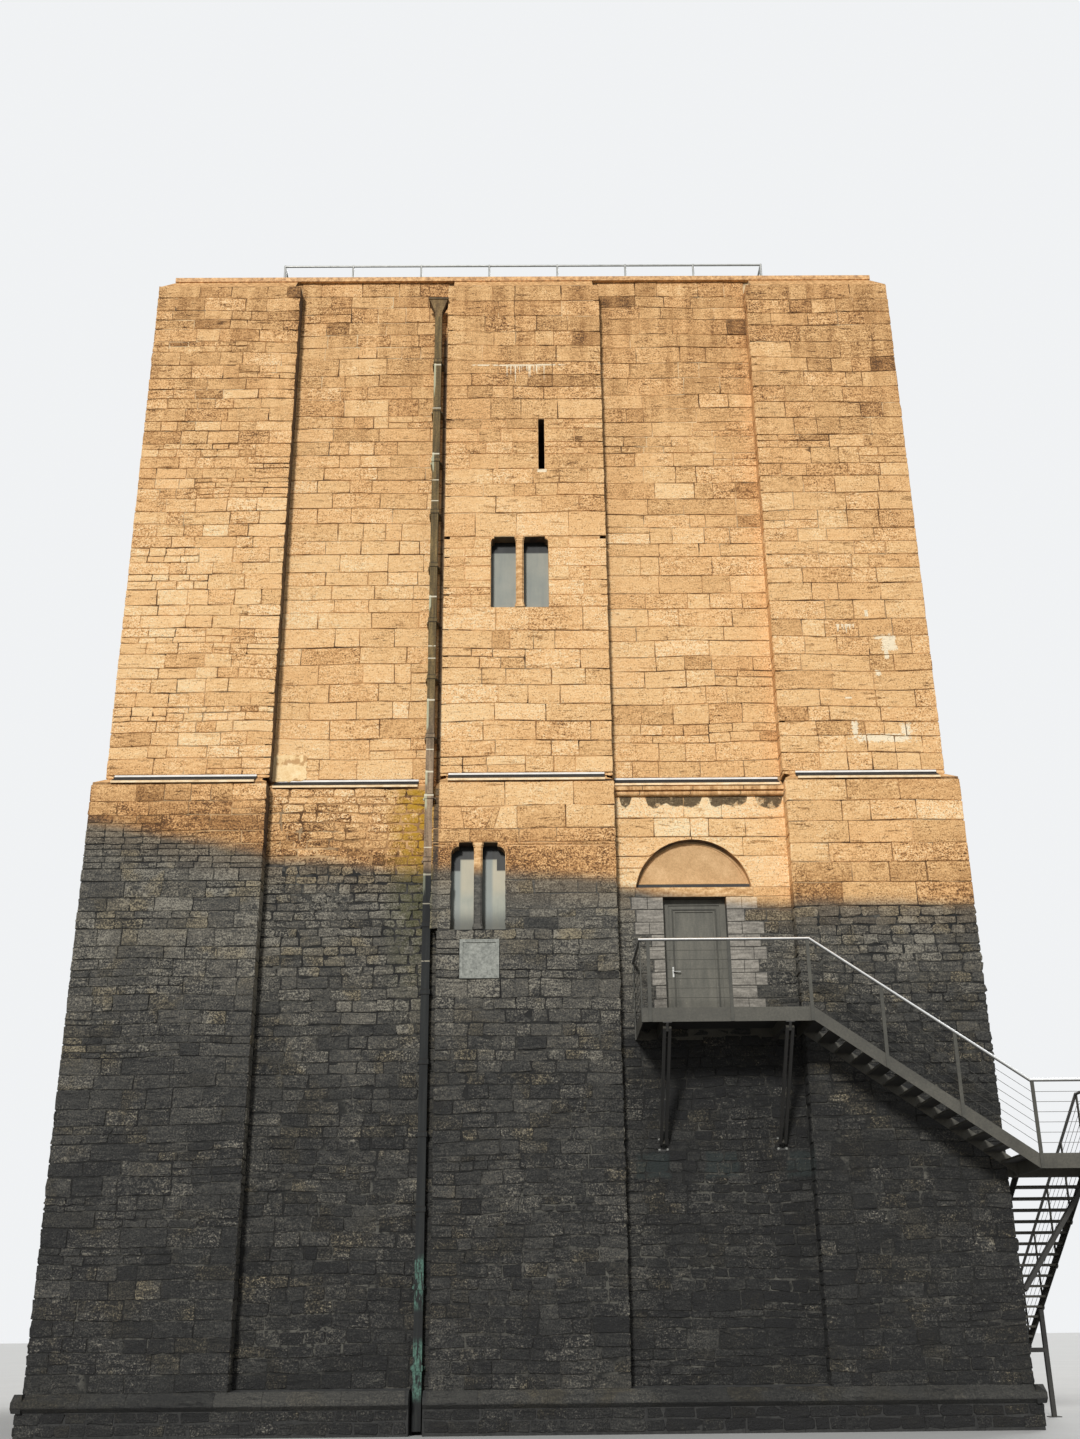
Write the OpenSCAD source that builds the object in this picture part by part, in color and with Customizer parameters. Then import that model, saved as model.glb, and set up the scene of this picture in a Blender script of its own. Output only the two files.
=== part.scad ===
// Castle keep: a square stone tower of two stages with flat corner and middle
// pilasters, and a steel stair that climbs to an upper doorway.
// Millimetres. The origin is the middle of the base on the ground, +Z is up,
// and the side with the doorway faces -Y.

/* [Tower] */
// Width of the tower over its lower pilasters, on every side
keep_w = 16500; // [15600:50:18000]
// Width of each clasping corner pilaster
corner_w = 3300; // [3300:50:3600]
// Width of the pilaster in the middle of each side
centre_w = 3300; // [3000:50:3400]
// Thickness of the walls at the pilasters
wall_t = 3300; // [2400:50:3300]
// Depth of the recessed bays behind the pilaster faces
recess = 350; // [200:10:450]
// Height of the top of the walls
wall_top = 23370; // [22000:10:26000]

/* [Stages] */
// Height of the sloped offset between the lower and the upper stage
offset_z = 11280; // [11200:10:11900]
// How far the upper stage stands back from the lower one
offset_in = 200; // [100:10:260]
// How far each upper pilaster is narrower at its sides
side_in = 110; // [40:5:150]
// Rise of the sloped offset
offset_rise = 130; // [60:5:200]
// Height of the slope that closes the pilasters at the top
cap_rise = 340; // [120:10:360]
// Depth of that slope
cap_in = 280; // [120:10:320]

/* [Plinth] */
// Height of the plinth where it meets the pilasters
plinth_h = 670; // [500:10:900]
// How far the rubble base stands proud of the pilasters
base_out = 80; // [20:5:120]
// How far the nose of the plinth moulding stands proud
nose_out = 150; // [125:5:220]
// Height of the upright nose of the moulding
nose_h = 90; // [50:5:120]
// How far the top of the plinth falls towards its nose
nose_fall = 110; // [60:5:160]
// Rise of the ledges in the recessed bays
ledge_rise = 30; // [20:5:120]
// Width of the chase for the downpipe
chase_w = 230; // [190:5:300]

/* [Floors and roof] */
// Level of the floor at the upper doorway
door_level = 6620; // [6300:10:6900]
// Level of the floor under the upper windows
hall_level = 14100; // [13600:10:14500]
// Thickness of each floor
floor_t = 300; // [200:10:450]
// Thickness of the paving on the ground
paving_t = 200; // [120:10:300]
// Thickness of the roof covering and its edge
covering_t = 110; // [80:5:200]
// How far the roof covering stands out beyond the recessed walls
covering_out = 100; // [40:5:110]

/* [Twin windows] */
// Height of the sill of the lower window
low_sill = 8360; // [8100:10:8500]
// Width of each light of the lower window
low_light_w = 430; // [380:10:460]
// Height of the lower lights
low_light_h = 1670; // [1400:10:1800]
// Place of the middle of the lower window along the wall
low_x = -910; // [-930:10:-500]
// Height of the sill of the upper window
up_sill = 15050; // [14800:10:15400]
// Width of each light of the upper window
up_light_w = 510; // [420:10:560]
// Height of the upper lights
up_light_h = 1620; // [1400:10:1800]
// Place of the middle of the upper window along the wall
up_x = -110; // [-400:10:300]
// Width of the post between the two lights
mullion_w = 155; // [120:5:190]
// Depth of the lights before the wall opens to the inside
light_d = 420; // [350:10:600]
// How much wider the opening is at the inside, on each side
splay = 60; // [0:5:80]
// Width of the hollow shoulder in the top corner of a lower light
low_shoulder_w = 145; // [60:5:160]
// Height of that shoulder
low_shoulder_h = 225; // [170:5:300]
// Width of the hollow shoulder in the top corner of an upper light
up_shoulder_w = 65; // [40:5:90]
// Height of that shoulder
up_shoulder_h = 120; // [95:5:200]
// Depth of the glass behind the wall face
glass_in = 260; // [150:10:300]
// Thickness of the glass
glass_t = 12; // [8:1:24]

/* [Arrow slit] */
// Height of the foot of the slit
slit_z = 18290; // [17800:10:18800]
// Height of the slit
slit_h = 1230; // [1000:10:1500]
// Width of the slit
slit_w = 130; // [90:5:160]
// Place of the slit along the wall
slit_x = 360; // [-400:10:500]
// Width of the opening behind the slit at the inside
slit_inner_w = 700; // [400:10:900]

/* [Doorway] */
// Width of the doorway
door_w = 1180; // [1000:10:1300]
// Height of the doorway
door_h = 2420; // [2200:10:2500]
// How far the doorway is off the middle of its bay
door_off = -170; // [-250:10:100]
// Width of the door frame's posts and head
frame_w = 110; // [60:5:150]
// Depth of the door frame
frame_d = 100; // [80:5:120]
// Depth of the door frame behind the wall face
frame_in = 200; // [120:10:260]
// Thickness of the door leaf
leaf_t = 54; // [44:2:70]
// Width of the leaf's border round its sunk panel
leaf_border = 125; // [90:5:160]
// How deep the panel is sunk
panel_sunk = 14; // [6:1:18]
// Length of the lintel over the doorway
lintel_l = 2200; // [2000:10:2400]
// Height of the lintel
lintel_h = 180; // [140:5:220]
// Depth of the lintel behind the wall face
lintel_d = 420; // [300:10:600]
// How far the lintel stands proud of the wall face
lintel_out = 25; // [0:5:40]
// Radius of the arched panel over the lintel
arch_r = 1095; // [1000:5:1150]
// How far the centre of that arch lies below the top of the lintel
arch_drop = 150; // [100:5:200]
// Depth of the arched recess
arch_in = 160; // [80:10:220]
// Thickness of the slab that fills the arch
arch_slab_t = 120; // [80:10:160]

/* [Fittings on the wall] */
// Height of the moulded string course over the doorway
string_h = 190; // [120:5:240]
// How far the string course stands out
string_out = 150; // [80:5:190]
// Distance of the string course below the sloped offset
string_drop = 60; // [45:5:120]
// Thickness of the lead over the offsets, with its welts
lead_t = 18; // [12:1:24]
// How far the lead turns up the wall over an offset
lead_up = 75; // [50:5:100]
// How far the lead reaches out over the wall below
drip_out = 45; // [20:5:60]
// Distance of the lead from the ends of a bay
bay_lead_gap = 60; // [30:5:150]
// Distance of the lead from the edges of a middle pilaster
centre_lead_gap = 150; // [120:5:300]
// Distance of the lead from the inner edge of a corner pilaster
inner_lead_gap = 230; // [160:5:500]
// Distance of the lead from the corner of the tower
outer_lead_gap = 350; // [300:5:600]
// Side of the square downpipe
pipe_w = 150; // [120:5:170]
// Clear gap between the downpipe and the lower wall
pipe_gap = 40; // [20:5:60]
// Distance between the middle pilaster and the chase for the pipe
pipe_off = 100; // [60:5:200]
// Height of the lowest pipe socket
first_socket = 960; // [400:10:1200]
// Distance from one pipe socket to the next
socket_pitch = 1250; // [1000:10:1600]
// Width of the rainwater hopper at its rim
hopper_w = 430; // [360:10:480]
// Height of the rainwater hopper
hopper_h = 450; // [360:10:520]
// Distance of the hopper's rim below the top of the walls
hopper_drop = 750; // [500:10:1000]
// Side of the square vent cover under the lower window
vent_w = 720; // [600:10:740]
// Distance between the vent cover and the sill over it
vent_drop = 190; // [120:10:300]
// Distance of the middle of the vent from the middle of the window
vent_off = 35; // [-60:5:60]
// How far the flush block patch reaches past the middle pilaster
patch_w = 120; // [60:5:130]
// Height of the foot of that patch over the sill of the window beside it
patch_foot = 70; // [0:10:200]
// Height of its outer edge over the head of that window
patch_head = 440; // [300:10:600]
// Rise of its sloped top back to the recessed wall
patch_slope = 220; // [100:10:350]

/* [Roof railing] */
// Distance of the front and back railings from the wall faces below
rail_back = 1400; // [1200:10:2000]
// Width of the railed part of the roof
railed_w = 11100; // [10400:50:11600]
// Height of the roof railing
roof_rail_h = 1100; // [900:10:1300]
// Number of bays in the front roof railing
rail_bays = 7; // [5:1:9]
// Diameter of the roof rails and posts
roof_rail_d = 48; // [38:1:60]

/* [Stair] */
// Width of the flights over their stringers
flight_w = 1200; // [1000:10:1250]
// Clear gap between the upper flight and the pilaster face
flight_gap = 200; // [150:10:300]
// Gap between the middle pilaster and the platform
platform_gap = 300; // [150:10:400]
// Gap between the platform and the corner pilaster
platform_end_gap = 80; // [40:5:200]
// Gap between the side wall and the corner landing
landing_gap = 130; // [100:5:180]
// Number of risers in the upper flight
up_risers = 13; // [12:1:14]
// Level of the corner landing
landing_level = 4180; // [4000:10:4300]
// Width of the corner landing
landing_w = 1320; // [1260:10:1500]
// How far the landing reaches back along the side wall
landing_back = 250; // [180:10:400]
// Number of risers in the lower flight
low_risers = 24; // [23:1:25]
// Going of the treads in the lower flight
low_going = 272; // [250:2:290]
// Depth of the steel plates along the flights and round platform and landing
edge_h = 240; // [220:5:260]
// Thickness of those plates
edge_t = 15; // [10:1:20]
// Width of the bearers under the decks
bearer_w = 70; // [50:5:90]
// Thickness of the treads and decks
tread_t = 40; // [30:2:50]
// How far each tread runs on under the next one up
tread_lap = 15; // [0:5:30]
// Width of the flat cleats that carry the ends of the treads
cleat_w = 45; // [30:5:60]
// Thickness of those cleats
cleat_t = 8; // [5:1:10]
// Height of the railings over platform, landing and tread noses
rail_h = 1200; // [1050:10:1300]
// Diameter of the round handrail
handrail_d = 50; // [42:1:60]
// Width of the flat railing posts, which are bolted to the edge plates
post_w = 60; // [40:2:70]
// Thickness of those posts
post_t = 20; // [12:1:30]
// Distance of the first railing post from the platform's free corner
post_in = 130; // [60:10:200]
// Diameter of the rods between the posts
rod_d = 8; // [6:1:12]
// Number of rods between floor and handrail
rods = 6; // [4:1:7]
// Width of each of the two bars of a raking strut
strut_w = 50; // [40:5:60]
// Depth of those bars
strut_h = 70; // [50:5:80]
// Gap between the two bars
strut_gap = 40; // [20:5:60]
// Height that a raking strut gains
strut_drop = 1820; // [1400:10:2000]
// Distance of the struts from the ends of the platform
strut_in = 415; // [250:5:600]
// Side of the square legs under the lower flight
leg_w = 80; // [60:5:100]
// Height of the bar between those legs
leg_bar_z = 1100; // [600:50:1300]

/* [Hidden] */

half = keep_w / 2;
up_half = half - offset_in;
room_half = half - wall_t;
corner_in = half - corner_w;
centre_half = centre_w / 2;
bay_face = half - recess;
up_bay_face = up_half - recess;
cap_face = up_half - cap_in;
side_rise = offset_rise * side_in / offset_in;
nose_face = half + nose_out;
base_face = half + base_out;
nose_top = plinth_h - nose_fall;
ledge_top = plinth_h + ledge_rise;
covering_half = up_bay_face + covering_out;
roof_z = wall_top + covering_t;
rail_half = railed_w / 2;
low_head = low_sill + low_light_h;
up_head = up_sill + up_light_h;
slit_head = slit_z + slit_h;
low_shoulder = [low_shoulder_w, low_shoulder_h];
up_shoulder = [up_shoulder_w, up_shoulder_h];
door_x = (centre_half + corner_in) / 2 + door_off;
door_left = door_x - door_w / 2;
door_right = door_x + door_w / 2;
door_head = door_level + door_h;
lintel_top = door_head + lintel_h;
arch_z = lintel_top - arch_drop;
leaf_h = door_h - frame_w;
frame_y = -bay_face + frame_in;
leaf_face = frame_y + (frame_d - leaf_t) / 2;
pipe_x = -centre_half - chase_w / 2 - pipe_off;
pipe_y = -bay_face - pipe_gap - pipe_w / 2;
hopper_top = wall_top - hopper_drop;
stair_y0 = -half - flight_gap - flight_w;
platform_x0 = centre_half + platform_gap;
platform_x1 = corner_in - platform_end_gap;
landing_x0 = half + landing_gap;
landing_x1 = landing_x0 + landing_w;
landing_y1 = -half + landing_back;
up_run = landing_x0 - platform_x1;
up_climb = door_level - landing_level;
low_run = low_risers * low_going;
low_x0 = landing_x1 - flight_w;
post_top = rail_h - handrail_d * 0.6;
landing_bearer_y = landing_y1 - landing_back / 2;
strut_places = [platform_x0 + strut_in, platform_x1 - strut_in];
over = 10;
seat = 0.3;

// Profiles and placing

// An outline in Y and Z, drawn out along X
module run_x(x0, x1) translate([x0, 0, 0]) rotate([90, 0, 90]) linear_extrude(x1 - x0) children();

// An outline in X and Z, drawn out along Y
module run_y(y0, y1) translate([0, y1, 0]) rotate([90, 0, 0]) linear_extrude(y1 - y0) children();

// A block between two corners
module block(low, high) translate(low) cube(high - low);

// Turns a piece drawn for the front side to another side
module on_side(quarter) rotate([0, 0, quarter * 90]) children();

// Outline of a wall strip: outward distance against height
function strip_outline(inner, low_face, high_face, cap_face, cap_z) = [
    [inner, plinth_h], [low_face, plinth_h], [low_face, offset_z],
    [high_face, offset_z + offset_rise], [high_face, cap_z],
    [cap_face, wall_top], [inner, wall_top]
];

// The same outline seen on the front, where outward is -Y
function to_front(points) = [for (p = points) [-p[0], p[1]]];

pilaster_outline = strip_outline(room_half, half, up_half, cap_face, wall_top - cap_rise);
corner_outline = strip_outline(corner_in, half, up_half, cap_face, wall_top - cap_rise);
bay_outline = [
    [room_half, plinth_h], [bay_face, plinth_h], [bay_face, offset_z],
    [up_bay_face, offset_z + offset_rise], [up_bay_face, wall_top], [room_half, wall_top]
];

// Masonry of the walls

// The cut that narrows the upper stage of a pilaster at its right-hand edge
module side_cut(edge) {
    run_y(-half - over, -up_bay_face)
        polygon([
            [edge, offset_z], [edge + over, offset_z], [edge + over, wall_top + over],
            [edge - side_in, wall_top + over], [edge - side_in, offset_z + side_rise]
        ]);
}

// A clasping corner pilaster, for the front right corner
module corner() {
    difference() {
        intersection() {
            run_y(-half, -corner_in) polygon(corner_outline);
            run_x(corner_in, half) polygon(to_front(corner_outline));
        }
        mirror([1, 0, 0]) side_cut(-corner_in);
        rotate([0, 0, 90]) side_cut(-corner_in);
    }
}

// One bay of recessed wall, full height
module bay(x0, x1) run_x(x0, x1) polygon(to_front(bay_outline));

// The middle strip of a wall with its pilaster, full height and uncut
module strip() {
    difference() {
        run_x(-centre_half, centre_half) polygon(to_front(pilaster_outline));
        side_cut(centre_half);
        mirror([1, 0, 0]) side_cut(centre_half);
    }
}

// The part of the strip between two heights
module strip_part(z0, z1) {
    intersection() {
        strip();
        block([-half, -half - over, z0], [half, 0, z1]);
    }
}

// The solid stretches of a pilaster, between its openings
module pilaster() {
    strip_part(plinth_h, low_sill);
    strip_part(low_head, up_sill);
    strip_part(up_head, slit_z);
    strip_part(slit_head, wall_top);
}

// Outline of one light, with a shoulder of stone in its outer top corner that is hollowed below
module light(w, h, shoulder) {
    square([w, h - shoulder[1]]);
    translate([shoulder[0], 0]) square([w - shoulder[0], h]);
    translate([shoulder[0], h - shoulder[1]]) circle(r = shoulder[0], $fn = 40);
}

// The two lights of a window as seen from outside, side by side
module twin_lights(w, h, shoulder) {
    translate([-mullion_w / 2 - w, 0]) light(w, h, shoulder);
    mirror([1, 0]) translate([-mullion_w / 2 - w, 0]) light(w, h, shoulder);
}

// The opening of a twin window through the wall
module window_cut(x, face, sill, w, h, shoulder) {
    reach = w + mullion_w / 2;
    run_y(-face - over, -face + light_d) translate([x, sill]) twin_lights(w, h, shoulder);
    translate([0, 0, sill]) linear_extrude(h) polygon([
        [x - reach, -face + light_d], [x + reach, -face + light_d],
        [x + reach + splay, -room_half + over], [x - reach - splay, -room_half + over]
    ]);
}

// The opening of the arrow slit through the wall
module slit_cut() {
    block(
        [slit_x - slit_w / 2, -up_half - over, slit_z],
        [slit_x + slit_w / 2, -up_half + light_d, slit_head]
    );
    translate([0, 0, slit_z]) linear_extrude(slit_h) polygon([
        [slit_x - slit_w / 2, -up_half + light_d], [slit_x + slit_w / 2, -up_half + light_d],
        [slit_x + slit_inner_w / 2, -room_half + over], [slit_x - slit_inner_w / 2, -room_half + over]
    ]);
}

// The stones beside and between the lights, and beside the slit
module window_jambs() {
    difference() {
        union() {
            strip_part(low_sill, low_head);
            strip_part(up_sill, up_head);
            strip_part(slit_z, slit_head);
        }
        window_cut(low_x, half, low_sill, low_light_w, low_light_h, low_shoulder);
        window_cut(up_x, up_half, up_sill, up_light_w, up_light_h, up_shoulder);
        slit_cut();
    }
}

module corner_front_right() color("tan") corner();
module corner_front_left() color("tan") mirror([1, 0, 0]) corner();
module corner_back_right() color("tan") mirror([0, 1, 0]) corner();
module corner_back_left() color("tan") rotate([0, 0, 180]) corner();

module both_bays() {
    bay(centre_half, corner_in);
    bay(-corner_in, -centre_half);
}

module front_left_bay() color("burlywood") bay(-corner_in, -centre_half);
module front_pilaster() color("tan") pilaster();
module front_window_jambs() color("wheat") window_jambs();
module right_bays() color("burlywood") on_side(1) both_bays();
module right_pilaster() color("tan") on_side(1) pilaster();
module right_window_jambs() color("wheat") on_side(1) window_jambs();
module back_bays() color("burlywood") on_side(2) both_bays();
module back_pilaster() color("tan") on_side(2) pilaster();
module back_window_jambs() color("wheat") on_side(2) window_jambs();
module left_bays() color("burlywood") on_side(3) both_bays();
module left_pilaster() color("tan") on_side(3) pilaster();
module left_window_jambs() color("wheat") on_side(3) window_jambs();

// The bay with the doorway is split under, beside and over it
module door_bay_below() {
    color("dimgray") block([centre_half, -bay_face, plinth_h], [corner_in, -room_half, door_level]);
}

module door_bay_jambs() {
    color("gainsboro") {
        block([centre_half, -bay_face, door_level], [door_left, -room_half, door_head]);
        block([door_right, -bay_face, door_level], [corner_in, -room_half, door_head]);
    }
}

module door_bay_above() {
    color("burlywood") difference() {
        intersection() {
            bay(centre_half, corner_in);
            block([0, -half, door_head], [half, 0, wall_top]);
        }
        block(
            [door_x - lintel_l / 2, -half, door_head - over],
            [door_x + lintel_l / 2, -bay_face + lintel_d, lintel_top]
        );
        arch_shape(-bay_face - over, -bay_face + arch_in + arch_slab_t);
    }
}

// The arched recess over the lintel, between two depths
module arch_shape(y0, y1) {
    intersection() {
        translate([door_x, y1, arch_z]) rotate([90, 0, 0]) cylinder(r = arch_r, h = y1 - y0, $fn = 96);
        block([0, y0, lintel_top], [half, y1, arch_z + arch_r]);
    }
}

// Plinth

plinth_outline = [
    [room_half, 0], [base_face, 0], [base_face, nose_top - nose_h - (nose_out - base_out)],
    [nose_face, nose_top - nose_h], [nose_face, nose_top], [half, plinth_h], [room_half, plinth_h]
];

// The ring of the plinth, mitred at the corners, as one solid
module plinth_ring() {
    last = len(plinth_outline) - 1;
    mirrored = [for (i = [0:last]) [-plinth_outline[last - i][0], plinth_outline[last - i][1]]];
    both_ways = concat(plinth_outline, mirrored);
    difference() {
        intersection() {
            run_y(-nose_face, nose_face) polygon(both_ways);
            run_x(-nose_face, nose_face) polygon(both_ways);
        }
        block([-room_half, -room_half, -over], [room_half, room_half, plinth_h + over]);
    }
}

// The run of the plinth under one pair of opposite walls
module long_plinth() {
    intersection() {
        plinth_ring();
        block([-nose_face, -nose_face, 0], [nose_face, -room_half, plinth_h]);
    }
}

module short_plinth() {
    intersection() {
        plinth_ring();
        block([room_half, -room_half, 0], [nose_face, room_half, plinth_h]);
    }
}

module front_plinth() {
    color("slategray") difference() {
        long_plinth();
        block(
            [pipe_x - chase_w / 2, -nose_face - over, -over],
            [pipe_x + chase_w / 2, -bay_face, plinth_h + over]
        );
    }
}

module back_plinth() color("slategray") rotate([0, 0, 180]) long_plinth();
module right_plinth() color("slategray") short_plinth();
module left_plinth() color("slategray") rotate([0, 0, 180]) short_plinth();

// Sloping ledges that carry the plinth's moulding back to the recessed walls
module ledge(x0, x1) {
    run_x(x0, x1) polygon([[-bay_face, plinth_h], [-half, plinth_h], [-bay_face, ledge_top]]);
}

module plinth_ledges() {
    color("slategray") {
        for (quarter = [1:3]) on_side(quarter) {
            ledge(centre_half, corner_in);
            ledge(-corner_in, -centre_half);
        }
        ledge(centre_half, corner_in);
        ledge(-corner_in, pipe_x - chase_w / 2);
    }
}

// Floors and roof

module ground_floor() {
    color("gray") block([-room_half, -room_half, 0], [room_half, room_half, paving_t]);
}

module door_floor() {
    color("sienna") block([-room_half, -room_half, door_level - floor_t], [room_half, room_half, door_level]);
}

module hall_floor() {
    color("sienna") block([-room_half, -room_half, hall_level - floor_t], [room_half, room_half, hall_level]);
}

module roof_deck() {
    color("sienna") block([-room_half, -room_half, wall_top - floor_t], [room_half, room_half, wall_top]);
}

module roof_covering() {
    reach = [covering_half, covering_half, 0];
    color("lightgray") block([0, 0, wall_top] - reach, [0, 0, roof_z] + reach);
}

// Doorway

module door_lintel() {
    color("gainsboro") block(
        [door_x - lintel_l / 2, -bay_face - lintel_out, door_head],
        [door_x + lintel_l / 2, -bay_face + lintel_d, lintel_top]
    );
}

module arch_panel() {
    color("gainsboro") arch_shape(-bay_face + arch_in, -bay_face + arch_in + arch_slab_t);
}

module door_frame() {
    color("gray") difference() {
        block([door_left, frame_y, door_level], [door_right, frame_y + frame_d, door_head]);
        block(
            [door_left + frame_w, frame_y - over, door_level - over],
            [door_right - frame_w, frame_y + frame_d + over, door_level + leaf_h]
        );
    }
}

// One tall sunk panel on the outer face, with a raised bead round it, and the leaf fills its frame
module door_leaf() {
    bead = 22;
    bead_out = 6;
    low = [door_left + frame_w, leaf_face, door_level];
    high = [door_right - frame_w, leaf_face + leaf_t, door_level + leaf_h];
    inset = [leaf_border, 0, leaf_border];
    rim = [bead, 0, bead];
    color("lightslategray") difference() {
        union() {
            block(low, high);
            block(low + inset - rim - [0, bead_out, 0], high - inset + rim - [0, leaf_t, 0]);
        }
        block(low + inset - [0, bead_out + over, 0], high - inset - [0, leaf_t - panel_sunk, 0]);
    }
}

// Back plate, neck and lever on the left-hand edge of the leaf
module door_handle() {
    plate = [55, 10, 190];
    neck_d = 22;
    neck_l = 55;
    lever_l = 130;
    edge_gap = 60;
    handle_h = 1050;
    color("silver") translate([door_left + frame_w + edge_gap, leaf_face, door_level + handle_h]) {
        translate([-plate[0] / 2, -plate[1], -plate[2] / 2]) cube(plate);
        rotate([90, 0, 0]) cylinder(d = neck_d, h = neck_l, $fn = 24);
        translate([-neck_d / 2, -neck_l, 0]) rotate([0, 90, 0]) cylinder(d = neck_d, h = lever_l, $fn = 24);
    }
}

// Fittings on the wall

// Two moulded courses: a weathered upper one over a smaller one that ends in a round
module string_course() {
    top = offset_z - string_drop;
    mid = top - string_h / 2;
    foot = top - string_h;
    round_r = string_h / 4;
    round_out = string_out - 2 * round_r;
    color("darkgray") run_x(centre_half, corner_in) {
        polygon([
            [-bay_face, mid], [-bay_face - string_out, mid],
            [-bay_face - string_out, top - round_r / 2], [-bay_face, top]
        ]);
        translate([-bay_face - round_out, foot]) square([round_out, string_h / 2 + over]);
        translate([-bay_face - round_out, foot + round_r]) circle(r = round_r, $fn = 32);
    }
}

// Flush squared blocks that square up the pilaster beside the lower window
module pilaster_patch() {
    foot = low_sill + patch_foot;
    head = low_head + patch_head;
    color("wheat") run_x(-centre_half - patch_w, -centre_half) polygon([
        [-bay_face, foot], [-half, foot], [-half, head], [-bay_face, head + patch_slope]
    ]);
}

// Lead dressed over an offset: turned up the wall above, and out over the wall below to a drip
module flashing(x0, x1, low_face, high_face) {
    head = offset_z + offset_rise;
    drip_z = offset_z - drip_out * offset_rise / offset_in;
    run_x(x0, x1) polygon([
        [-high_face, head], [-low_face - drip_out, drip_z],
        [-low_face - drip_out - lead_t, drip_z], [-low_face - drip_out - lead_t, drip_z + 2 * lead_t],
        [-high_face - lead_t, head + lead_t], [-high_face - lead_t, head + lead_up],
        [-high_face, head + lead_up]
    ]);
}

module offset_flashings() {
    centre_reach = centre_half - centre_lead_gap;
    color("white") for (quarter = [0:3]) on_side(quarter) {
        flashing(-centre_reach, centre_reach, half, up_half);
        flashing(corner_in + inner_lead_gap, half - outer_lead_gap, half, up_half);
        flashing(-half + outer_lead_gap, -corner_in - inner_lead_gap, half, up_half);
        flashing(centre_half + bay_lead_gap, corner_in - bay_lead_gap, bay_face, up_bay_face);
        bay_end = quarter == 0 ? pipe_x - chase_w : -centre_half - bay_lead_gap;
        flashing(-corner_in + bay_lead_gap, bay_end, bay_face, up_bay_face);
    }
}

// A plate with a raised frame round it
module vent_cover() {
    plate_t = 30;
    border = 60;
    border_t = 50;
    low = [low_x + vent_off - vent_w / 2, -half - border_t, low_sill - vent_drop - vent_w];
    high = low + [vent_w, border_t, vent_w];
    inset = [border, 0, border];
    color("slategray") difference() {
        block(low, high);
        block(low + inset - [0, over, 0], high - inset - [0, plate_t, 0]);
    }
}

// Open box with a rim, drawn in on three sides to a neck that leads into the pipe
module rainwater_hopper() {
    depth = 300;
    wall = 12;
    rim = 20;
    rim_h = 45;
    neck_h = 110;
    bracket = [80, 80];
    bracket_drop = 160;
    back = pipe_y + pipe_w / 2 + 60;
    neck_back = pipe_y + pipe_w / 2;
    box_w = hopper_w - 2 * rim;
    shoulder_z = hopper_top - rim_h;
    neck_z = hopper_top - hopper_h + neck_h;
    foot = hopper_top - hopper_h;
    color("dimgray") {
        difference() {
            union() {
                block(
                    [pipe_x - hopper_w / 2, back - depth, shoulder_z],
                    [pipe_x + hopper_w / 2, back, hopper_top]
                );
                intersection() {
                    run_y(back - depth, back) polygon([
                        [pipe_x - box_w / 2, shoulder_z], [pipe_x + box_w / 2, shoulder_z],
                        [pipe_x + pipe_w / 2, neck_z], [pipe_x + pipe_w / 2, foot],
                        [pipe_x - pipe_w / 2, foot], [pipe_x - pipe_w / 2, neck_z]
                    ]);
                    run_x(pipe_x - box_w / 2, pipe_x + box_w / 2) polygon([
                        [back - depth + rim, shoulder_z], [back, shoulder_z], [neck_back, neck_z],
                        [neck_back, foot], [neck_back - pipe_w, foot], [neck_back - pipe_w, neck_z]
                    ]);
                }
            }
            block(
                [pipe_x - box_w / 2 + wall, back - depth + rim + wall, shoulder_z],
                [pipe_x + box_w / 2 - wall, back - wall, hopper_top + over]
            );
        }
        block(
            [pipe_x - bracket[0] / 2, back - wall, hopper_top - bracket_drop],
            [pipe_x + bracket[0] / 2, -up_bay_face, hopper_top - bracket_drop + bracket[1]]
        );
    }
}

// Square pipe with a socket and a wall bracket at every joint
module downpipe() {
    foot = 60;
    head = hopper_top - hopper_h;
    socket_h = 90;
    socket_out = 14;
    ear_w = 240;
    ear_h = 50;
    side = [pipe_w / 2, pipe_w / 2, 0];
    rim = side + [socket_out, socket_out, 0];
    sockets = floor((head - first_socket) / socket_pitch);
    color("dimgray") translate([pipe_x, pipe_y, 0]) {
        block([0, 0, foot] - side, [0, 0, head] + side);
        for (i = [0:sockets]) {
            z = first_socket + i * socket_pitch;
            ear_z = z + (socket_h - ear_h) / 2;
            wall = z > offset_z ? up_bay_face : bay_face;
            block([0, 0, z] - rim, [0, 0, z + socket_h] + rim);
            block([-ear_w / 2, pipe_w / 2, ear_z], [ear_w / 2, -wall - pipe_y, ear_z + ear_h]);
        }
    }
}

// One pane in every light of the four sides
module window_glass() {
    color("lightcyan", 0.4) for (quarter = [0:3]) on_side(quarter) {
        run_y(-half + glass_in, -half + glass_in + glass_t)
            translate([low_x, low_sill]) twin_lights(low_light_w, low_light_h, low_shoulder);
        run_y(-up_half + glass_in, -up_half + glass_in + glass_t)
            translate([up_x, up_sill]) twin_lights(up_light_w, up_light_h, up_shoulder);
    }
}

// Roof railing: posts with a top rail and a middle rail
module roof_rail(length, bays) {
    for (i = [0:bays])
        translate([(i / bays - 1 / 2) * length, 0, 0]) cylinder(d = roof_rail_d, h = roof_rail_h, $fn = 16);
    for (z = [roof_rail_h / 2, roof_rail_h - roof_rail_d / 2])
        translate([-length / 2, 0, z]) rotate([0, 90, 0]) cylinder(d = roof_rail_d, h = length, $fn = 16);
}

module roof_railing_front_back() {
    color("gray") for (s = [-1, 1])
        translate([0, s * (half - rail_back), roof_z]) roof_rail(railed_w, rail_bays);
}

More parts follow.
